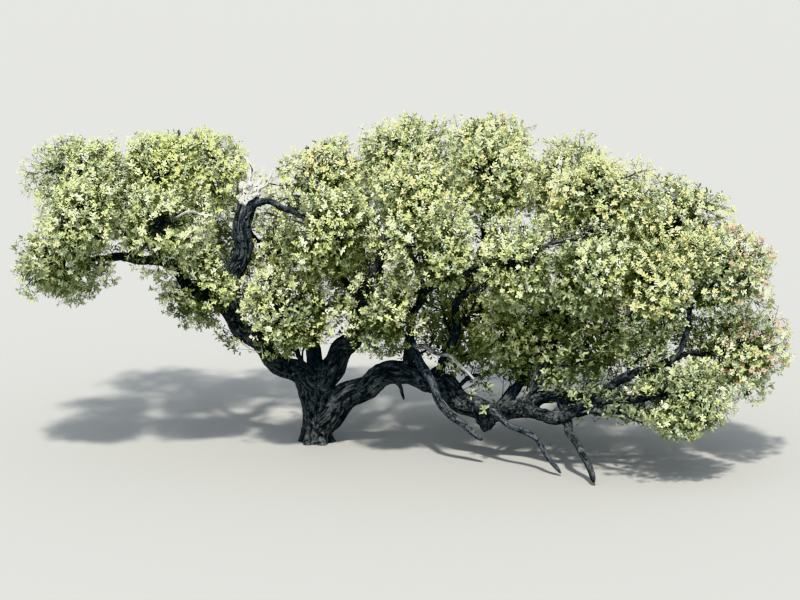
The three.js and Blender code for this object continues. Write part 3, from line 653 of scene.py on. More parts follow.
def run_tree(piece, tree, **values):
    """Runs a Geometry Nodes tree on a piece, with its named inputs set, and keeps the result."""
    modifier = piece.modifiers.new(tree.name, "NODES")
    modifier.node_group = tree
    for socket in tree.interface.items_tree:
        key = socket.name.lower().replace(" ", "_")
        if socket.in_out == "INPUT" and key in values:
            modifier[socket.identifier] = values[key]
    return settle(piece)


def new_tree(name, **inputs):
    """A Geometry Nodes tree with a geometry in and out, and its named inputs."""
    tree = bpy.data.node_groups.new(name, "GeometryNodeTree")
    tree.interface.new_socket("Geometry", in_out="INPUT", socket_type="NodeSocketGeometry")
    for key, kind in inputs.items():
        tree.interface.new_socket(key.replace("_", " ").capitalize(), in_out="INPUT", socket_type=kind)
    tree.interface.new_socket("Geometry", in_out="OUTPUT", socket_type="NodeSocketGeometry")
    return tree, node(tree, "NodeGroupInput").outputs


def end_tree(tree, geometry, finish):
    """Ends a tree: instances made real, and the finish set."""
    real = node(tree, "GeometryNodeRealizeInstances", {"Geometry": geometry})
    painted = node(tree, "GeometryNodeSetMaterial", {"Geometry": real.outputs[0], "Material": finish})
    node(tree, "NodeGroupOutput", {"Geometry": painted.outputs[0]})
    return tree


def of_points(tree, name, kind="FLOAT"):
    """A value that a mesh carries at its points."""
    return node(tree, "GeometryNodeInputNamedAttribute", {"Name": name}, data_type=kind).outputs["Attribute"]


def twig_tree():
    """Tapering twigs along the lines of a mesh, as thick as its "thickness" says."""
    tree, given = new_tree("twigs", sides="NodeSocketInt", capped="NodeSocketBool",
                           finish="NodeSocketMaterial")
    lines = node(tree, "GeometryNodeMeshToCurve", {"Mesh": given["Geometry"]})
    ring = node(tree, "GeometryNodeCurvePrimitiveCircle", {"Resolution": given["Sides"], "Radius": 1.0})
    tubes = node(tree, "GeometryNodeCurveToMesh",
                 {"Curve": lines.outputs[0], "Profile Curve": ring.outputs[0],
                  "Scale": of_points(tree, "thickness"), "Fill Caps": given["Capped"]})
    return end_tree(tree, tubes.outputs[0], given["Finish"])


def spray_tree():
    """Sprays of leaves on the points of a mesh: each faces its "facing", as large as its "size" says."""
    tree, given = new_tree("leaf sprays", sprays="NodeSocketCollection", seed="NodeSocketInt",
                           finish="NodeSocketMaterial")
    kinds = node(tree, "GeometryNodeCollectionInfo",
                 {"Collection": given["Sprays"], "Separate Children": True, "Reset Children": True})
    which = node(tree, "FunctionNodeRandomValue", {"Seed": given["Seed"]}, data_type="INT")
    which.inputs[4].default_value = 0
    which.inputs[5].default_value = SPRAY_KINDS - 1
    spin = node(tree, "FunctionNodeRandomValue", {"Seed": given["Seed"]}, data_type="FLOAT")
    spin.inputs[2].default_value = 0
    spin.inputs[3].default_value = 2 * math.pi
    spin_angles = node(tree, "ShaderNodeCombineXYZ", {"Z": spin.outputs[1]})
    spun = node(tree, "FunctionNodeEulerToRotation", {"Euler": spin_angles.outputs[0]})
    facing = of_points(tree, "facing", "FLOAT_VECTOR")
    turned = node(tree, "FunctionNodeAlignRotationToVector",
                  {"Rotation": spun.outputs[0], "Vector": facing}, axis="Z")
    placed = node(tree, "GeometryNodeInstanceOnPoints",
                  {"Points": given["Geometry"], "Instance": kinds.outputs[0], "Pick Instance": True,
                   "Instance Index": which.outputs[2], "Rotation": turned.outputs[0],
                   "Scale": of_points(tree, "size")})
    return end_tree(tree, placed.outputs[0], given["Finish"])


def frames_along(points):
    """Directions along, across and over a curve at its points, turned as little as they can be."""
    along = unit(np.gradient(points, axis=0))
    across = np.empty_like(points)
    way = np.array((1.0, 0, 0)) if abs(along[0][2]) > STEEP else UP
    for i, tangent in enumerate(along):
        way = unit(way - tangent * way.dot(tangent))
        across[i] = way
    return along, across, np.cross(along, across)


class Limb:
    """A limb's curve, sampled: centres, directions, radii on each side, and how far along each sample is."""

    def __init__(self, curve, radii, tip_heading, collar=0.0, is_trunk=False, is_broken=False):
        self.curve, self.radii, self.tip_heading = curve, radii, tip_heading
        steps = max(8, math.ceil(curve.length[0] / RING_STEP))
        shares = np.linspace(0, 1, steps + 1)
        self.centres = curve.at(shares)[0]
        if not is_trunk:
            amount = np.minimum(CROOK_SHARE * blend(*radii, shares), CROOK_MOST)
            amount = amount * np.sqrt(np.sin(math.pi * shares))
            self.centres = self.centres + noise_vectors(self.centres / CROOK_LENGTH, 31) * amount[:, None]
        self.along, self.across, self.over = frames_along(self.centres)
        swell = collar * radii[0] * np.exp(-shares * curve.length[0] / (COLLAR_REACH * radii[0]))
        self.sizes = np.repeat((blend(radii[0], radii[1], shares) + swell)[:, None], TUBE_SIDES, axis=1)
        self.depth = np.ones(len(shares))
        if is_broken:
            closed = np.clip((shares - BROKEN_FROM) / (1 - BROKEN_FROM), 0, 1)
            self.sizes *= np.sqrt(1 - (1 - BROKEN_SECTION) * closed ** 2)[:, None]
        if is_trunk:
            self.across[:] = (1, 0, 0)
            self.over[:] = (0, 1, 0)
            self.sizes = trunk_radius(shares[:, None], RING_ANGLES[None, :])
            self.depth = blend(1, TRUNK_DEPTH_SHARE, shares)
        self.mean_radii = self.sizes.mean(axis=1)
        self.distance = np.append(0, np.cumsum(lengths(np.diff(self.centres, axis=0))))

    def tube(self):
        """A closed tube of rings: its points, and its faces counted from its own first point."""
        wide = (self.sizes * np.cos(RING_ANGLES))[..., None] * self.across[:, None]
        deep = (self.sizes * np.sin(RING_ANGLES) * self.depth[:, None])[..., None] * self.over[:, None]
        places = (self.centres[:, None] + wide + deep).reshape(-1, 3)
        rings = np.arange(len(places)).reshape(-1, TUBE_SIDES)
        after = np.roll(rings, -1, axis=1)
        sides = np.stack((rings[:-1], after[:-1], after[1:], rings[1:]), axis=-1).reshape(-1, 4)
        return places, [*sides.tolist(), rings[0, ::-1].tolist(), rings[-1].tolist()]


def trunk_radius(share, angle):
    """The trunk's radius on a side at a share of its height: flare, waist, widening fork, rounded crown."""
    start, stop, lateness = TRUNK_WIDENS
    body = blend(TRUNK_WAIST_RADIUS, TRUNK_FORK_RADIUS, ease(share, start, stop) ** lateness)
    ridges = 1 + RIDGE_SHARE * np.cos(ROOT_RIDGES * angle + RIDGE_TURN)
    flare = FLARE_RADIUS * np.exp(-share * TRUNK_TOP[2] / FLARE_HEIGHT) * ridges
    return blend(body, TRUNK_CROWN_RADIUS, ease(share, *TRUNK_CLOSES)) + flare


def grow_trunk():
    top = np.array(TRUNK_TOP)
    way = unit(top) / SWEEP
    foot = -unit(top) * BELOW_GROUND
    curve = Curves(foot, way, top, way, 0, wander=0)
    return Limb(curve, (TRUNK_FORK_RADIUS, TRUNK_CROWN_RADIUS), UP, is_trunk=True)


def start_on(limbs, name, share):
    """The point at a share of the way along a limb, or up the trunk."""
    if name == "trunk":
        return np.array(TRUNK_TOP) * share
    return limbs[name].curve.at([share])[0, 0]


def grow_limbs():
    """The trunk, the limbs and the small limbs by name."""
    limbs = {"trunk": grow_trunk()}
    for index, (name, parent, share, leaves, tip, arrives, radii) in enumerate(LIMBS + SMALL_LIMBS):
        grown = limbs[parent]
        way = heading(*leaves)
        start = start_on(limbs, parent, share)
        if share == 1:
            start = start - way * START_DEPTH * grown.radii[1]
        curve = Curves(start, way, tip, heading(*arrives), index * LIMB_PHASE)
        collar = 0 if share == 1 else COLLAR_SHARE
        limbs[name] = Limb(curve, radii, heading(*arrives), collar, is_broken=name in BROKEN)
    return limbs


LIMB_BY_NAME = grow_limbs()


def joined(rows):
    """The first arrays of all rows as one, the second ones as one, and so on."""
    return (np.concatenate(column) for column in zip(*rows))


def finder_of(centres):
    """A search tree over some points."""
    finder = KDTree(len(centres))
    for i, centre in enumerate(centres):
        finder.insert(centre, i)
    finder.balance()
    return finder


def local_places(points, limbs):
    """For each point: its place across, over and along its limb, and the limb's radius and number."""
    centres, across, over, along, distance, radius, number = joined(
        (limb.centres, limb.across, limb.over, limb.along, limb.distance + LIMB_APART * i,
         limb.mean_radii, np.full(len(limb.centres), i)) for i, limb in enumerate(limbs))
    finder = finder_of(centres)
    nearest = np.array([finder.find(point)[1] for point in points])
    offset = points - centres[nearest]
    place = [(offset * way[nearest]).sum(axis=1) for way in (across, over, along)]
    place[2] = place[2] + distance[nearest]
    return np.stack(place, axis=1), radius[nearest], number[nearest]


def in_spacings(local, radius, share, least, most):
    return local / np.clip(share * radius, least, most)[:, None]


def long_creases(local, length, sway, sway_reach, width, seed):
    """Creases that run along a limb and sway to both sides, so that they meet and part."""
    place = local / (1, 1, length)
    return creases(place + sway * noise_vectors(place * sway_reach, seed), seed + 3, width)


def bark_relief(local, radius):
    """How high bark stands, 0 in a furrow to 1 on a ridge: braided furrows, cracked across into plates."""
    local = in_spacings(local, radius, *FURROW_SPACING)
    furrow = long_creases(local, *FURROW_SHAPE, seed=1)
    crack = creases(local / CRACK_SPACING, 5, CRACK_WIDTH)
    plates = 0.5 + 0.5 * lattice_noise(local * PLATES, 6)
    return np.clip(0.72 + 0.28 * plates - 0.75 * furrow - 0.28 * crack, 0, 1)


def split_relief(local, radius):
    """How high bare dead wood stands: long checks and a fibrous grain along the limb."""
    local = in_spacings(local, radius, *CHECK_SPACING)
    check = long_creases(local, *CHECK_SHAPE, seed=7)
    fibre = 0.5 + 0.5 * lattice_noise(local / FIBRE_SPACING, 11)
    return np.clip(0.55 + 0.45 * fibre - 0.8 * check, 0, 1)


def bareness(limb_names, number, height):
    """1 where a limb has lost its bark, and 0 where it hasn't."""
    bare = np.array([BARE_SHARES.get(name, 0.0) for name in limb_names])[number]
    top = (np.array(limb_names)[number] == "snag") * ease(height, *SNAG_BARE)
    return np.maximum(bare, top)


def vectors_of(items, field):
    """A vector of each vertex or normal of a mesh."""
    flat = np.empty(3 * len(items), np.float32)
    items.foreach_get(field, flat)
    return flat.reshape(-1, 3).astype(float)


def skin(name, limb_names, grid, relief, finish):
    """One closed skin over some limbs, with the relief of its surface cut in."""
    limbs = [LIMB_BY_NAME[limb] for limb in limb_names]
    places, faces = np.empty((0, 3)), []
    for limb in limbs:
        tube_places, tube_faces = limb.tube()
        faces += [[i + len(places) for i in face] for face in tube_faces]
        places = np.concatenate((places, tube_places))
    piece = new_piece(name, places, faces=faces)
    cover = piece.modifiers.new("cover", "REMESH")
    cover.mode = "VOXEL"
    cover.voxel_size = grid
    smooth = piece.modifiers.new("smooth", "SMOOTH")
    smooth.iterations = SKIN_SMOOTHING
    settle(piece)
    mesh = piece.data
    points = vectors_of(mesh.vertices, "co")
    local, radius, number = local_places(points, limbs)
    ragged = points[:, 2] + RAGGED_BY * lattice_noise(points / RAGGED_SIZE, 14)
    bare = bareness(limb_names, number, ragged)
    height = blend(bark_relief(local, radius), split_relief(local, radius), bare)
    coarse, fine = LUMPS
    swell = lattice_noise(points / coarse, 12) + 0.5 * lattice_noise(points / fine, 13)
    depth, lump = (np.minimum(most, share * radius) for most, share in zip(relief, RELIEF_SHARES))
    push = depth * (height - RELIEF_MIDDLE) + lump * swell
    points += vectors_of(mesh.vertex_normals, "vector") * push[:, None]
    if "trunk" not in limb_names:
        points[:, 2] = np.maximum(points[:, 2], 0)
    mesh.vertices.foreach_set("co", points.astype(np.float32).ravel())
    set_attribute(mesh, "ridge", height)
    set_attribute(mesh, "bare", bare)
    mesh.materials.clear()
    mesh.materials.append(finish)
    mesh.shade_smooth()
    mesh.update()
    if "trunk" in limb_names:
        cut_at_ground(mesh)
    return piece


def cut_at_ground(mesh):
    """Cuts the foot of a skin flat at ground level and closes it."""
    shape = bmesh.new()
    shape.from_mesh(mesh)
    geometry = shape.verts[:] + shape.edges[:] + shape.faces[:]
    cut = bmesh.ops.bisect_plane(shape, geom=geometry, plane_co=(0, 0, 0), plane_no=(0, 0, 1),
                                 clear_inner=True)
    rim = [edge for edge in cut["geom_cut"] if isinstance(edge, bmesh.types.BMEdge)]
    bmesh.ops.triangle_fill(shape, edges=rim, use_beauty=True, normal=(0, 0, -1))
    shape.to_mesh(mesh)
    shape.free()


class Space:
    """The space of a mass of foliage: an ellipsoid, cut by flat walls towards its neighbours."""

    def __init__(self, middle, reach):
        self.middle = np.array(middle)
        self.reach = np.array(reach) * SPACE_FILL

    def reach_along(self, ways):
        return 1 / lengths(ways / self.reach)

    def build_walls(self, others):
        ways = np.array([other.middle for other in others]) - self.middle
        distance = lengths(ways)
        ways = unit(ways)
        own = self.reach_along(ways)
        theirs = np.array([other.reach_along(way) for other, way in zip(others, ways)])
        self.walls = ways
        self.limits = distance * own / (own + theirs) - SPACE_MARGIN

    def room_along(self, ways):
        """How far the edge is: past the ellipsoid where a neighbour's is near, and never past a wall."""
        slant = ways @ self.walls.T
        to_wall = np.where(slant > 1e-6, self.limits / np.maximum(slant, 1e-6), np.inf)
        near = self.reach_along(ways)
        far = near * MERGE_REACH
        for _ in range(EDGE_STEPS):
            middle = (near + far) / 2
            inside = crown_density(self.middle + ways * middle[..., None]) > 1
            near, far = np.where(inside, middle, near), np.where(inside, far, middle)
        edge = self.middle + ways * near[..., None]
        lump = lattice_noise(edge.reshape(-1, 3) / LUMP_SIZE, 21).reshape(near.shape)
        return np.minimum(near * (1 - LUMP_DEPTH * np.clip(lump + LUMP_RAISE, 0, 1)), to_wall.min(axis=-1))

    def keep(self, points, share):
        """Crowds points that lie near or past a share of the room in towards the middle."""
        offset = points - self.middle
        distance = np.maximum(lengths(offset), 1e-9)
        room = share * self.room_along(unit(offset))
        past = np.maximum(distance / room - CLUMP_EASE, 0)
        reached = np.minimum(distance / room, CLUMP_EASE) + (1 - CLUMP_EASE) * np.tanh(past / CLUMP_CROWDING)
        return self.middle + offset * (reached * room / distance)[..., None]


def lay_out_spaces():
    """The space of each mass by name, walled off from the others."""
    spaces = {row[0]: Space(row[2], row[3]) for row in MASSES}
    for space in spaces.values():
        space.build_walls([other for other in spaces.values() if other is not space])
    return spaces


SPACES = lay_out_spaces()


def crown_density(points):
    """Over 1 inside the crown: the masses' ellipsoids add up where they are near each other."""
    total = np.zeros(points.shape[:-1])
    for space in SPACES.values():
        total += np.exp(-MERGE * (lengths((points - space.middle) / space.reach) - 1))
    return total


def fan(parents, ways, count, reach, inside, space, seed):
    """Twigs round the tip of each parent: the curves, and the way that each points."""
    rows = len(ways)
    share = (np.arange(count) + 0.5) / count
    tilt = np.radians(blend(*FAN_TILTS, share))[None, :]
    row_seed = np.arange(rows)[:, None] + seed
    turn = np.arange(count)[None, :] * GOLDEN_ANGLE + 2 * math.pi * chance(row_seed, seed)
    turn = turn + TWIG_TURN_CHANCE * chance(row_seed, np.arange(count)[None, :])
    helper = np.where(np.abs(ways[:, 2:]) > STEEP, (1.0, 0, 0), UP)
    across = unit(np.cross(helper, ways))[:, None]
    over = np.cross(ways, across[:, 0])[:, None]
    spread = np.cos(turn)[..., None] * across + np.sin(turn)[..., None] * over
    out = unit(np.cos(tilt)[..., None] * ways[:, None] + np.sin(tilt)[..., None] * spread)
    luck = chance(row_seed, 50 + np.arange(count))
    length = np.broadcast_to(reach, (rows,))[:, None] * blend(*FAN_LENGTHS, luck)
    tips = parents.end[:, None] + out * length[..., None]
    if space:
        tips = space.keep(tips, np.reshape(inside, (-1, 1)))
    starts = parents.at(np.broadcast_to(blend(*FAN_STARTS, share), (rows, count)))
    leaves = unit(unit(tips - starts) + TWIG_FOLLOWS * ways[:, None])
    arrives = unit(out + TWIG_RISE * UP)
    flat = (starts, leaves, tips, arrives)
    curves = Curves(*(field.reshape(-1, 3) for field in flat), np.arange(rows * count) + seed)
    return curves, out.reshape(-1, 3)


def only(curves, keep):
    """The curves that are kept."""
    kept = Curves.__new__(Curves)
    kept.wander = curves.wander
    for field in ("start", "end", "length", "pull", "push", "side", "lift", "phase"):
        setattr(kept, field, getattr(curves, field)[keep])
    return kept


class Growth:
    """Everything that grows in the masses: lines with their thickness for each kind of twig, and sprays."""

    def __init__(self):
        self.lines = {kind: [] for kind in TWIG_SIDES}
        self.sprays = []

    def add_lines(self, kind, curves, radii, steps):
        shares = np.linspace(0, 1, steps + 1)
        thickness = np.broadcast_to(blend(*radii, shares), (len(curves.start), steps + 1))
        self.lines[kind].append((curves.at(shares), thickness))

    def twigs(self, kind, sides, tree, finish):
        """One piece of all the twigs of a kind."""
        places, thickness, edges, count = [], [], [], 0
        for points, sizes in self.lines[kind]:
            rows, steps = sizes.shape
            first = count + np.arange(rows)[:, None] * steps + np.arange(steps - 1)[None, :]
            edges.append(np.stack((first, first + 1), axis=-1).reshape(-1, 2))
            places.append(points.reshape(-1, 3))
            thickness.append(sizes.ravel())
            count += rows * steps
        piece = new_piece(kind, np.concatenate(places), edges=np.concatenate(edges))
        set_attribute(piece.data, "thickness", np.concatenate(thickness))
        return run_tree(piece, tree, sides=sides, capped=kind != "shoots", finish=finish)


class Wood:
    """The trunk and all limbs as sampled centres, to keep shoots out of them and out of sight lines."""

    def __init__(self):
        centres, self.radii = joined((limb.centres, limb.mean_radii) for limb in LIMB_BY_NAME.values())
        self.finder = finder_of(centres)
        rows = []
        for name, room in OPEN_LIMBS.items():
            limb = LIMB_BY_NAME[name]
            count = len(limb.centres)
            widths = limb.mean_radii + room
            widths[:int(OPEN_FROM.get(name, 0) * count)] = 0
            rows.append((limb.centres, widths, np.full(count, name in ALWAYS_OPEN)))
        self.shown, self.widths, self.fully = joined(rows)

    def blocks(self, points):
        """Whether each point lies in a limb, too near to it, or in front of one that shows."""
        found = [self.finder.find(point) for point in points]
        inside = np.array([distance < self.radii[i] + WOOD_CLEARANCE for _, i, distance in found])
        above = math.radians(VIEW_ABOVE)
        seen = [np.stack((p[:, 0], p[:, 2] * math.cos(above) + p[:, 1] * math.sin(above)), axis=1)
                for p in (points, self.shown)]
        off = lengths(seen[0][:, None] - seen[1][None])
        before = points[:, None, 1] < self.shown[None, :, 1] + IN_FRONT
        hides = before & (off < self.widths)
        stays = chance(points[:, 0], points[:, 2]) < CROSSING
        return inside | (hides & self.fully).any(axis=1) | (hides.any(axis=1) & ~stays)


def grow_shoots(name, branchlets, out, middle, reach, space, limit, is_open, growth, wood, seed):
    """The shoots round the tips of some branchlets, and the sprays at their own tips."""
    shoots, out = fan(branchlets, out, SHOOTS, SHOOT_REACH, limit, space, seed)
    kept = ~wood.blocks(shoots.end) & (shoots.end[:, 2] > LOWEST_LEAF)
    shoots, out, is_open = only(shoots, kept), out[kept], np.repeat(is_open, SHOOTS)[kept]
    growth.add_lines("shoots", shoots, SHOOT_RADII, SHOOT_STEPS)
    outwards = unit((shoots.end - middle) / reach)
    growth.sprays.append((np.full(len(out), name), shoots.end, out, outwards, is_open))


def grow_on_limb(index, name, growth, wood):
    """Leafy branchlets along the length of a limb."""
    low, density, high = (*LEAFY_LIMBS[name], 1)[:3]
    limb = LIMB_BY_NAME[name]
    count = max(1, round(density * (high - low) * limb.distance[-1]))
    step = np.arange(count)
    shares = blend(low, high, (step + chance(index, step)) / count)
    starts = limb.curve.at(shares)[0]
    nearest = np.rint(shares * (len(limb.centres) - 1)).astype(int)
    turn = (2 * math.pi * chance(index + 5, step))[:, None]
    ways = np.cos(turn) * limb.across[nearest] + np.sin(turn) * limb.over[nearest]
    ways = unit(ways + LEAFY_FOLLOWS * limb.along[nearest] + LEAFY_RISE * UP)
    ways[:, 2] = np.abs(ways[:, 2])
    reach = limb.mean_radii[nearest] + blend(*LEAFY_LENGTHS, chance(index + 9, step))
    ends = starts + ways * reach[:, None]
    branchlets = Curves(starts, ways, ends, unit(ways + TWIG_RISE * UP), step + index)
    growth.add_lines("branchlets", branchlets, LEAFY_RADII, LEAFY_STEPS)
    middle = starts.mean(axis=0) - UP
    shaded = np.zeros(count, bool)
    grow_shoots(name, branchlets, ways, middle, 1, None, 1, shaded, growth, wood, index)


def grow_mass(index, row, space, growth, wood):
    name, bough, _, _, share, leaves = (*row, 1, None)[:6]
    grown = LIMB_BY_NAME[bough]
    start = start_on(LIMB_BY_NAME, bough, share)
    to_middle = unit(space.middle - start)
    way = heading(*leaves) if leaves else unit(grown.tip_heading + STEM_TURN * to_middle)
    if not leaves:
        start = start - way * START_DEPTH * grown.radii[1]
    end = space.middle + to_middle * STEM_REACH * space.reach_along(to_middle)
    stem = Curves(start, way, end, to_middle, index * STEM_PHASE)
    foot = min(STEM_SHARE * grown.radii[1], STEM_MOST)
    growth.add_lines("boughlets", stem, (foot, STEM_TIP_RADIUS), STEM_STEPS)

    outer = np.arange(BOUGHLETS + INNER_BOUGHLETS) < BOUGHLETS
    step = np.where(outer, np.arange(len(outer)), np.arange(len(outer)) - BOUGHLETS)
    height = 1 - 2 * (step + 0.5) / np.where(outer, BOUGHLETS, INNER_BOUGHLETS)
    level = np.sqrt(1 - height * height)
    turn = step * GOLDEN_ANGLE + index * MASS_TURN + chance(index, step) * TWIG_TURN_CHANCE
    ways = np.stack((level * np.cos(turn), level * np.sin(turn), height), axis=1)
    room = space.room_along(ways)
    luck = chance(index + 3, np.arange(len(outer)))
    reach = np.where(outer, blend(*BOUGHLET_REACH, luck), blend(*INNER_REACH, luck)) * room
    ends = space.middle + ways * reach[:, None]
    stem_way = unit(stem.end - stem.start)[0]
    starts = stem.at(blend(*TWIG_STARTS, 0.5 + 0.5 * ways @ stem_way))[0]
    headings = unit(unit(ends - starts) + STEM_FOLLOWS * stem_way)
    boughlets = Curves(starts, headings, ends, ways, step)
    growth.add_lines("boughlets", boughlets, BOUGHLET_RADII, BOUGHLET_STEPS)

    is_open = outer & (room > OPEN_SHARE * space.reach_along(ways))
    limit = blend(*CLUMP_REACH, luck)
    inside = BRANCHLET_LIMIT * limit
    branchlets, out = fan(boughlets, ways, BRANCHLETS, BRANCHLET_REACH * room, inside, space, index)
    rows = np.repeat(np.arange(len(outer)), BRANCHLETS)
    kept = (is_open | ~outer)[rows] | (chance(np.arange(len(out)), index) < SHADED_KEPT)
    branchlets, out, rows = only(branchlets, kept), out[kept], rows[kept]
    growth.add_lines("branchlets", branchlets, BRANCHLET_RADII, BRANCHLET_STEPS)

    grow_shoots(name, branchlets, out, space.middle, space.reach, space, limit[rows], is_open[rows], growth,
                wood, index + 0.5)


def grow_crown():
    wood = Wood()
    growth = Growth()
    for index, row in enumerate(MASSES):
        grow_mass(index, row, SPACES[row[0]], growth, wood)
    for index, name in enumerate(LEAFY_LIMBS):
        grow_on_limb(index, name, growth, wood)
    return growth


def spray_mesh(name, leaves, leaf_length, seed):
    """Lobed leaves in turn along the end of a shoot, which points up along Z: crowded at its tip."""
    places, faces = [], []
    for i in range(leaves):
        turn = i * GOLDEN_ANGLE + LEAF_TURN_CHANCE * chance(seed, i)
        back = i / (leaves - 1)
        tilt = math.radians(blend(*SPRAY_TILTS, 0.5 * back + 0.5 * chance(seed + 20, i)))
        length = leaf_length * blend(*LEAF_LENGTHS, chance(seed + 40, i))
        way = np.array((math.sin(tilt) * math.cos(turn), math.sin(tilt) * math.sin(turn), math.cos(tilt)))
        across = unit(np.cross(UP, way))
        roll = LEAF_ROLL_CHANCE * (chance(seed + 60, i) - 0.5)
        rise = unit(np.cross(way, across) + roll * across)
        across = np.cross(rise, way)
        root = -UP * SPRAY_DEPTH * back**SPRAY_CROWDING
        left, right = LEAF_LOBES
        outline = [(0, 0), *left, (1, 0), *((x, -y) for x, y in right)]
        first = len(places)
        for x, y in outline:
            lift = LEAF_FOLD * abs(y) - LEAF_DROOP * x * x
            places.append(root + length * (x * way + y * across + lift * rise))
        base, lobe, notch, tip, low_notch, high_lobe = range(first, first + len(outline))
        faces += [(base, lobe, notch), (base, notch, tip)]
        faces += [(base, tip, low_notch), (low_notch, tip, high_lobe)]
    mesh = bpy.data.meshes.new(name)
    mesh.from_pydata([tuple(place) for place in places], [], [face[::-1] for face in faces])
    return bpy.data.objects.new(name, mesh)


def spray_kinds(name, leaves, leaf_length):
    kinds = bpy.data.collections.new(name)
    for i in range(SPRAY_KINDS):
        kinds.objects.link(spray_mesh(f"{name}_{i}", leaves, leaf_length, 3 * i + 1))
    return kinds


def deal_tints(sprays):
    """Deals each spray its tint, by its mass, its height, whether it is in the open, and by chance. Sprays in
    the shade take darker tints, which are painted shade.
    """
    rng = np.random.default_rng(SEED)
    names, ends, out, outwards, is_open = joined(sprays)
    turned = (out, outwards, UP, rng.normal(size=out.shape))
    facing = unit(sum(weight * way for weight, way in zip(FACING, turned)))
    size = rng.uniform(*SPRAY_SIZES, len(ends))
    luck = rng.random(len(ends))
    overhung = np.isin(names, OVERHUNG) & (rng.random(len(ends)) < OVERHUNG_SHARE)
    # Sprays inside the crown, on the undersides and under the crown above count as shaded, and their darker
    # tints below are painted shade.
    shaded = ~is_open | (outwards[:, 2] < UNDERSIDE) | overhung
    airy = np.isin(names, AIRY)
    tints = np.array(OPEN_TINTS)[np.digitize(luck, OPEN_STEPS)]
    darker = luck < DARKER_SHARE
    tints = np.where(shaded, np.where(darker, "deep", "olive"), tints)
    tints = np.where(shaded & airy, np.where(darker, "olive", "cool"), tints)
    deepest = luck < np.where(airy, AIRY_DEEP_SHARE, DEEP_SHARE)
    tints = np.where(~is_open, np.where(deepest, *SHADE_TINTS), tints)
    second_luck = rng.random(len(ends))
    tints = np.where(np.isin(names, UPPER) & ~shaded & (second_luck < GOLDEN_SHARE), "golden", tints)
    fresh = np.isin(names, FRESH) & (ends[:, 0] > FRESH_FROM_X)
    in_open, in_shade = FRESH_SHARES
    tints = np.where(fresh & (second_luck < np.where(shaded, in_shade, in_open)), "fresh", tints)
    bronze = np.isin(names, BRONZE) & (ends[:, 0] > BRONZE_FROM_X)
    tints = np.where(bronze & ~shaded & (second_luck < BRONZE_SHARE), "bronze", tints)
    return ends, facing, size, tints


def grow_leaves(growth):
    """The sprays of each tint as one piece of realized instances."""
    ends, facing, size, tints = deal_tints(growth.sprays)
    tree = spray_tree()
    pieces = []
    fine = spray_kinds("fine_sprays", SPRAY_LEAVES, LEAF_LENGTH)
    coarse = spray_kinds("shade_sprays", SHADE_LEAVES, SHADE_LEAF_LENGTH)
    for seed, tint in enumerate(LEAF_TINTS):
        own = tints == tint
        piece = new_piece(f"leaves_{tint}", ends[own])
        set_attribute(piece.data, "facing", facing[own])
        set_attribute(piece.data, "size", size[own])
        kinds = coarse if tint in SHADE_TINTS else fine
        pieces.append(run_tree(piece, tree, sprays=kinds, seed=seed, finish=leaf_finish(tint)))
    for kinds in (fine, coarse):
        for spray in list(kinds.objects):
            bpy.data.objects.remove(spray)
        bpy.data.collections.remove(kinds)
    return pieces


def stand_in(piece, names):
    """Hangs a piece on the body and hides the CAD nodes that it stands for."""
    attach(piece, BODY)
    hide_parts(*names)


def dress_wood():
    """The skins of the trunk and limbs, each with the CAD nodes that it stands for."""
    rest = [row[0] for row in LIMBS + SMALL_LIMBS if row[0] not in MAIN_WOOD + SNAG_WOOD + DEAD_WOOD]
    finishes = {"bark": oak_bark(), "dead_wood": dead_oak()}
    for name, names, grid, relief, slot in (
            ("trunk_and_boughs", MAIN_WOOD, MAIN_GRID, MAIN_RELIEF, "bark"),
            ("upper_limbs", rest, LIMB_GRID, LIMB_RELIEF, "bark"),
            ("snag_wood", SNAG_WOOD, DEAD_GRID, SNAG_RELIEF, "dead_wood"),
            ("dead_limb_wood", DEAD_WOOD, DEAD_GRID, DEAD_RELIEF, "dead_wood")):
        piece = skin(name, names, grid, relief, finishes[slot])
        stand_in(piece, (limb for limb in names if limb in frame["nodes"]))


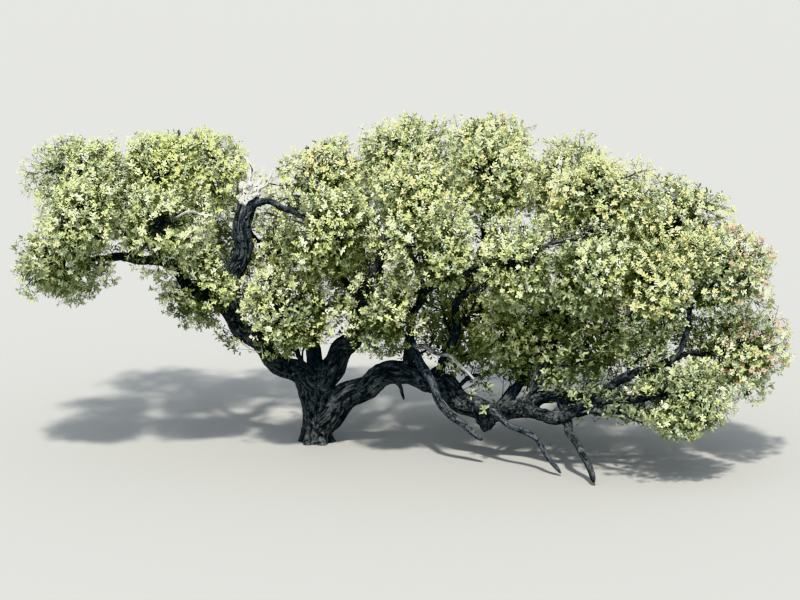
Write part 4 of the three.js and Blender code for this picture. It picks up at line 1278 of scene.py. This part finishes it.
def dress_crown():
    """The twigs and leaves that stand for the masses of foliage."""
    growth = grow_crown()
    tree = twig_tree()
    bark = twig_bark()
    twigs = [growth.twigs(kind, sides, tree, bark) for kind, sides in TWIG_SIDES.items()]
    leaves = grow_leaves(growth)
    foliage = [name for name in frame["nodes"] if name.startswith("foliage_")]
    for piece in twigs + leaves:
        stand_in(piece, foliage)


def set_view():
    camera = add_object("camera", bpy.data.cameras.new("camera"))
    above = math.radians(VIEW_ABOVE)
    back = np.array((0, -math.cos(above), math.sin(above))) * VIEW_DISTANCE
    camera.location = np.array(VIEW_MIDDLE) + back
    camera.rotation_euler = (math.pi / 2 - above, 0, 0)
    camera.data.sensor_width = SENSOR_WIDTH
    camera.data.lens = SENSOR_WIDTH * VIEW_DISTANCE / VIEW_WIDTH
    camera.data.clip_end = VIEW_END
    bpy.context.scene.camera = camera


def set_light():
    """One high, soft-edged key light and an even pale surround."""
    sun = add_object("key_light", bpy.data.lights.new("key_light", "SUN"))
    sun.data.energy = SUN_STRENGTH
    sun.data.angle = math.radians(SUN_WIDTH)
    sun.data.color = SUN_COLOUR
    to_sun = heading(SUN_AROUND, SUN_ABOVE)
    sun.rotation_euler = (math.radians(90 - SUN_ABOVE), 0, math.atan2(to_sun[1], to_sun[0]) + math.pi / 2)
    world = bpy.data.worlds.new("surround")
    world.use_nodes = True
    background = world.node_tree.nodes["Background"]
    background.inputs["Color"].default_value = SKY_COLOUR
    background.inputs["Strength"].default_value = SKY_STRENGTH
    bpy.context.scene.world = world
    bpy.context.scene.view_settings.view_transform = "Khronos PBR Neutral"


def set_floor():
    half = FLOOR_SIZE / 2
    corners = [(-half, -half, 0), (half, -half, 0), (half, half, 0), (-half, half, 0)]
    finish, _, shader = new_finish("pale_floor", 0.9, 0.2)
    shader.inputs["Base Color"].default_value = linear(FLOOR_COLOUR)
    new_piece("floor", corners, faces=[(0, 1, 2, 3)], finish=finish)


set_view()
set_light()
set_floor()
dress_wood()
dress_crown()
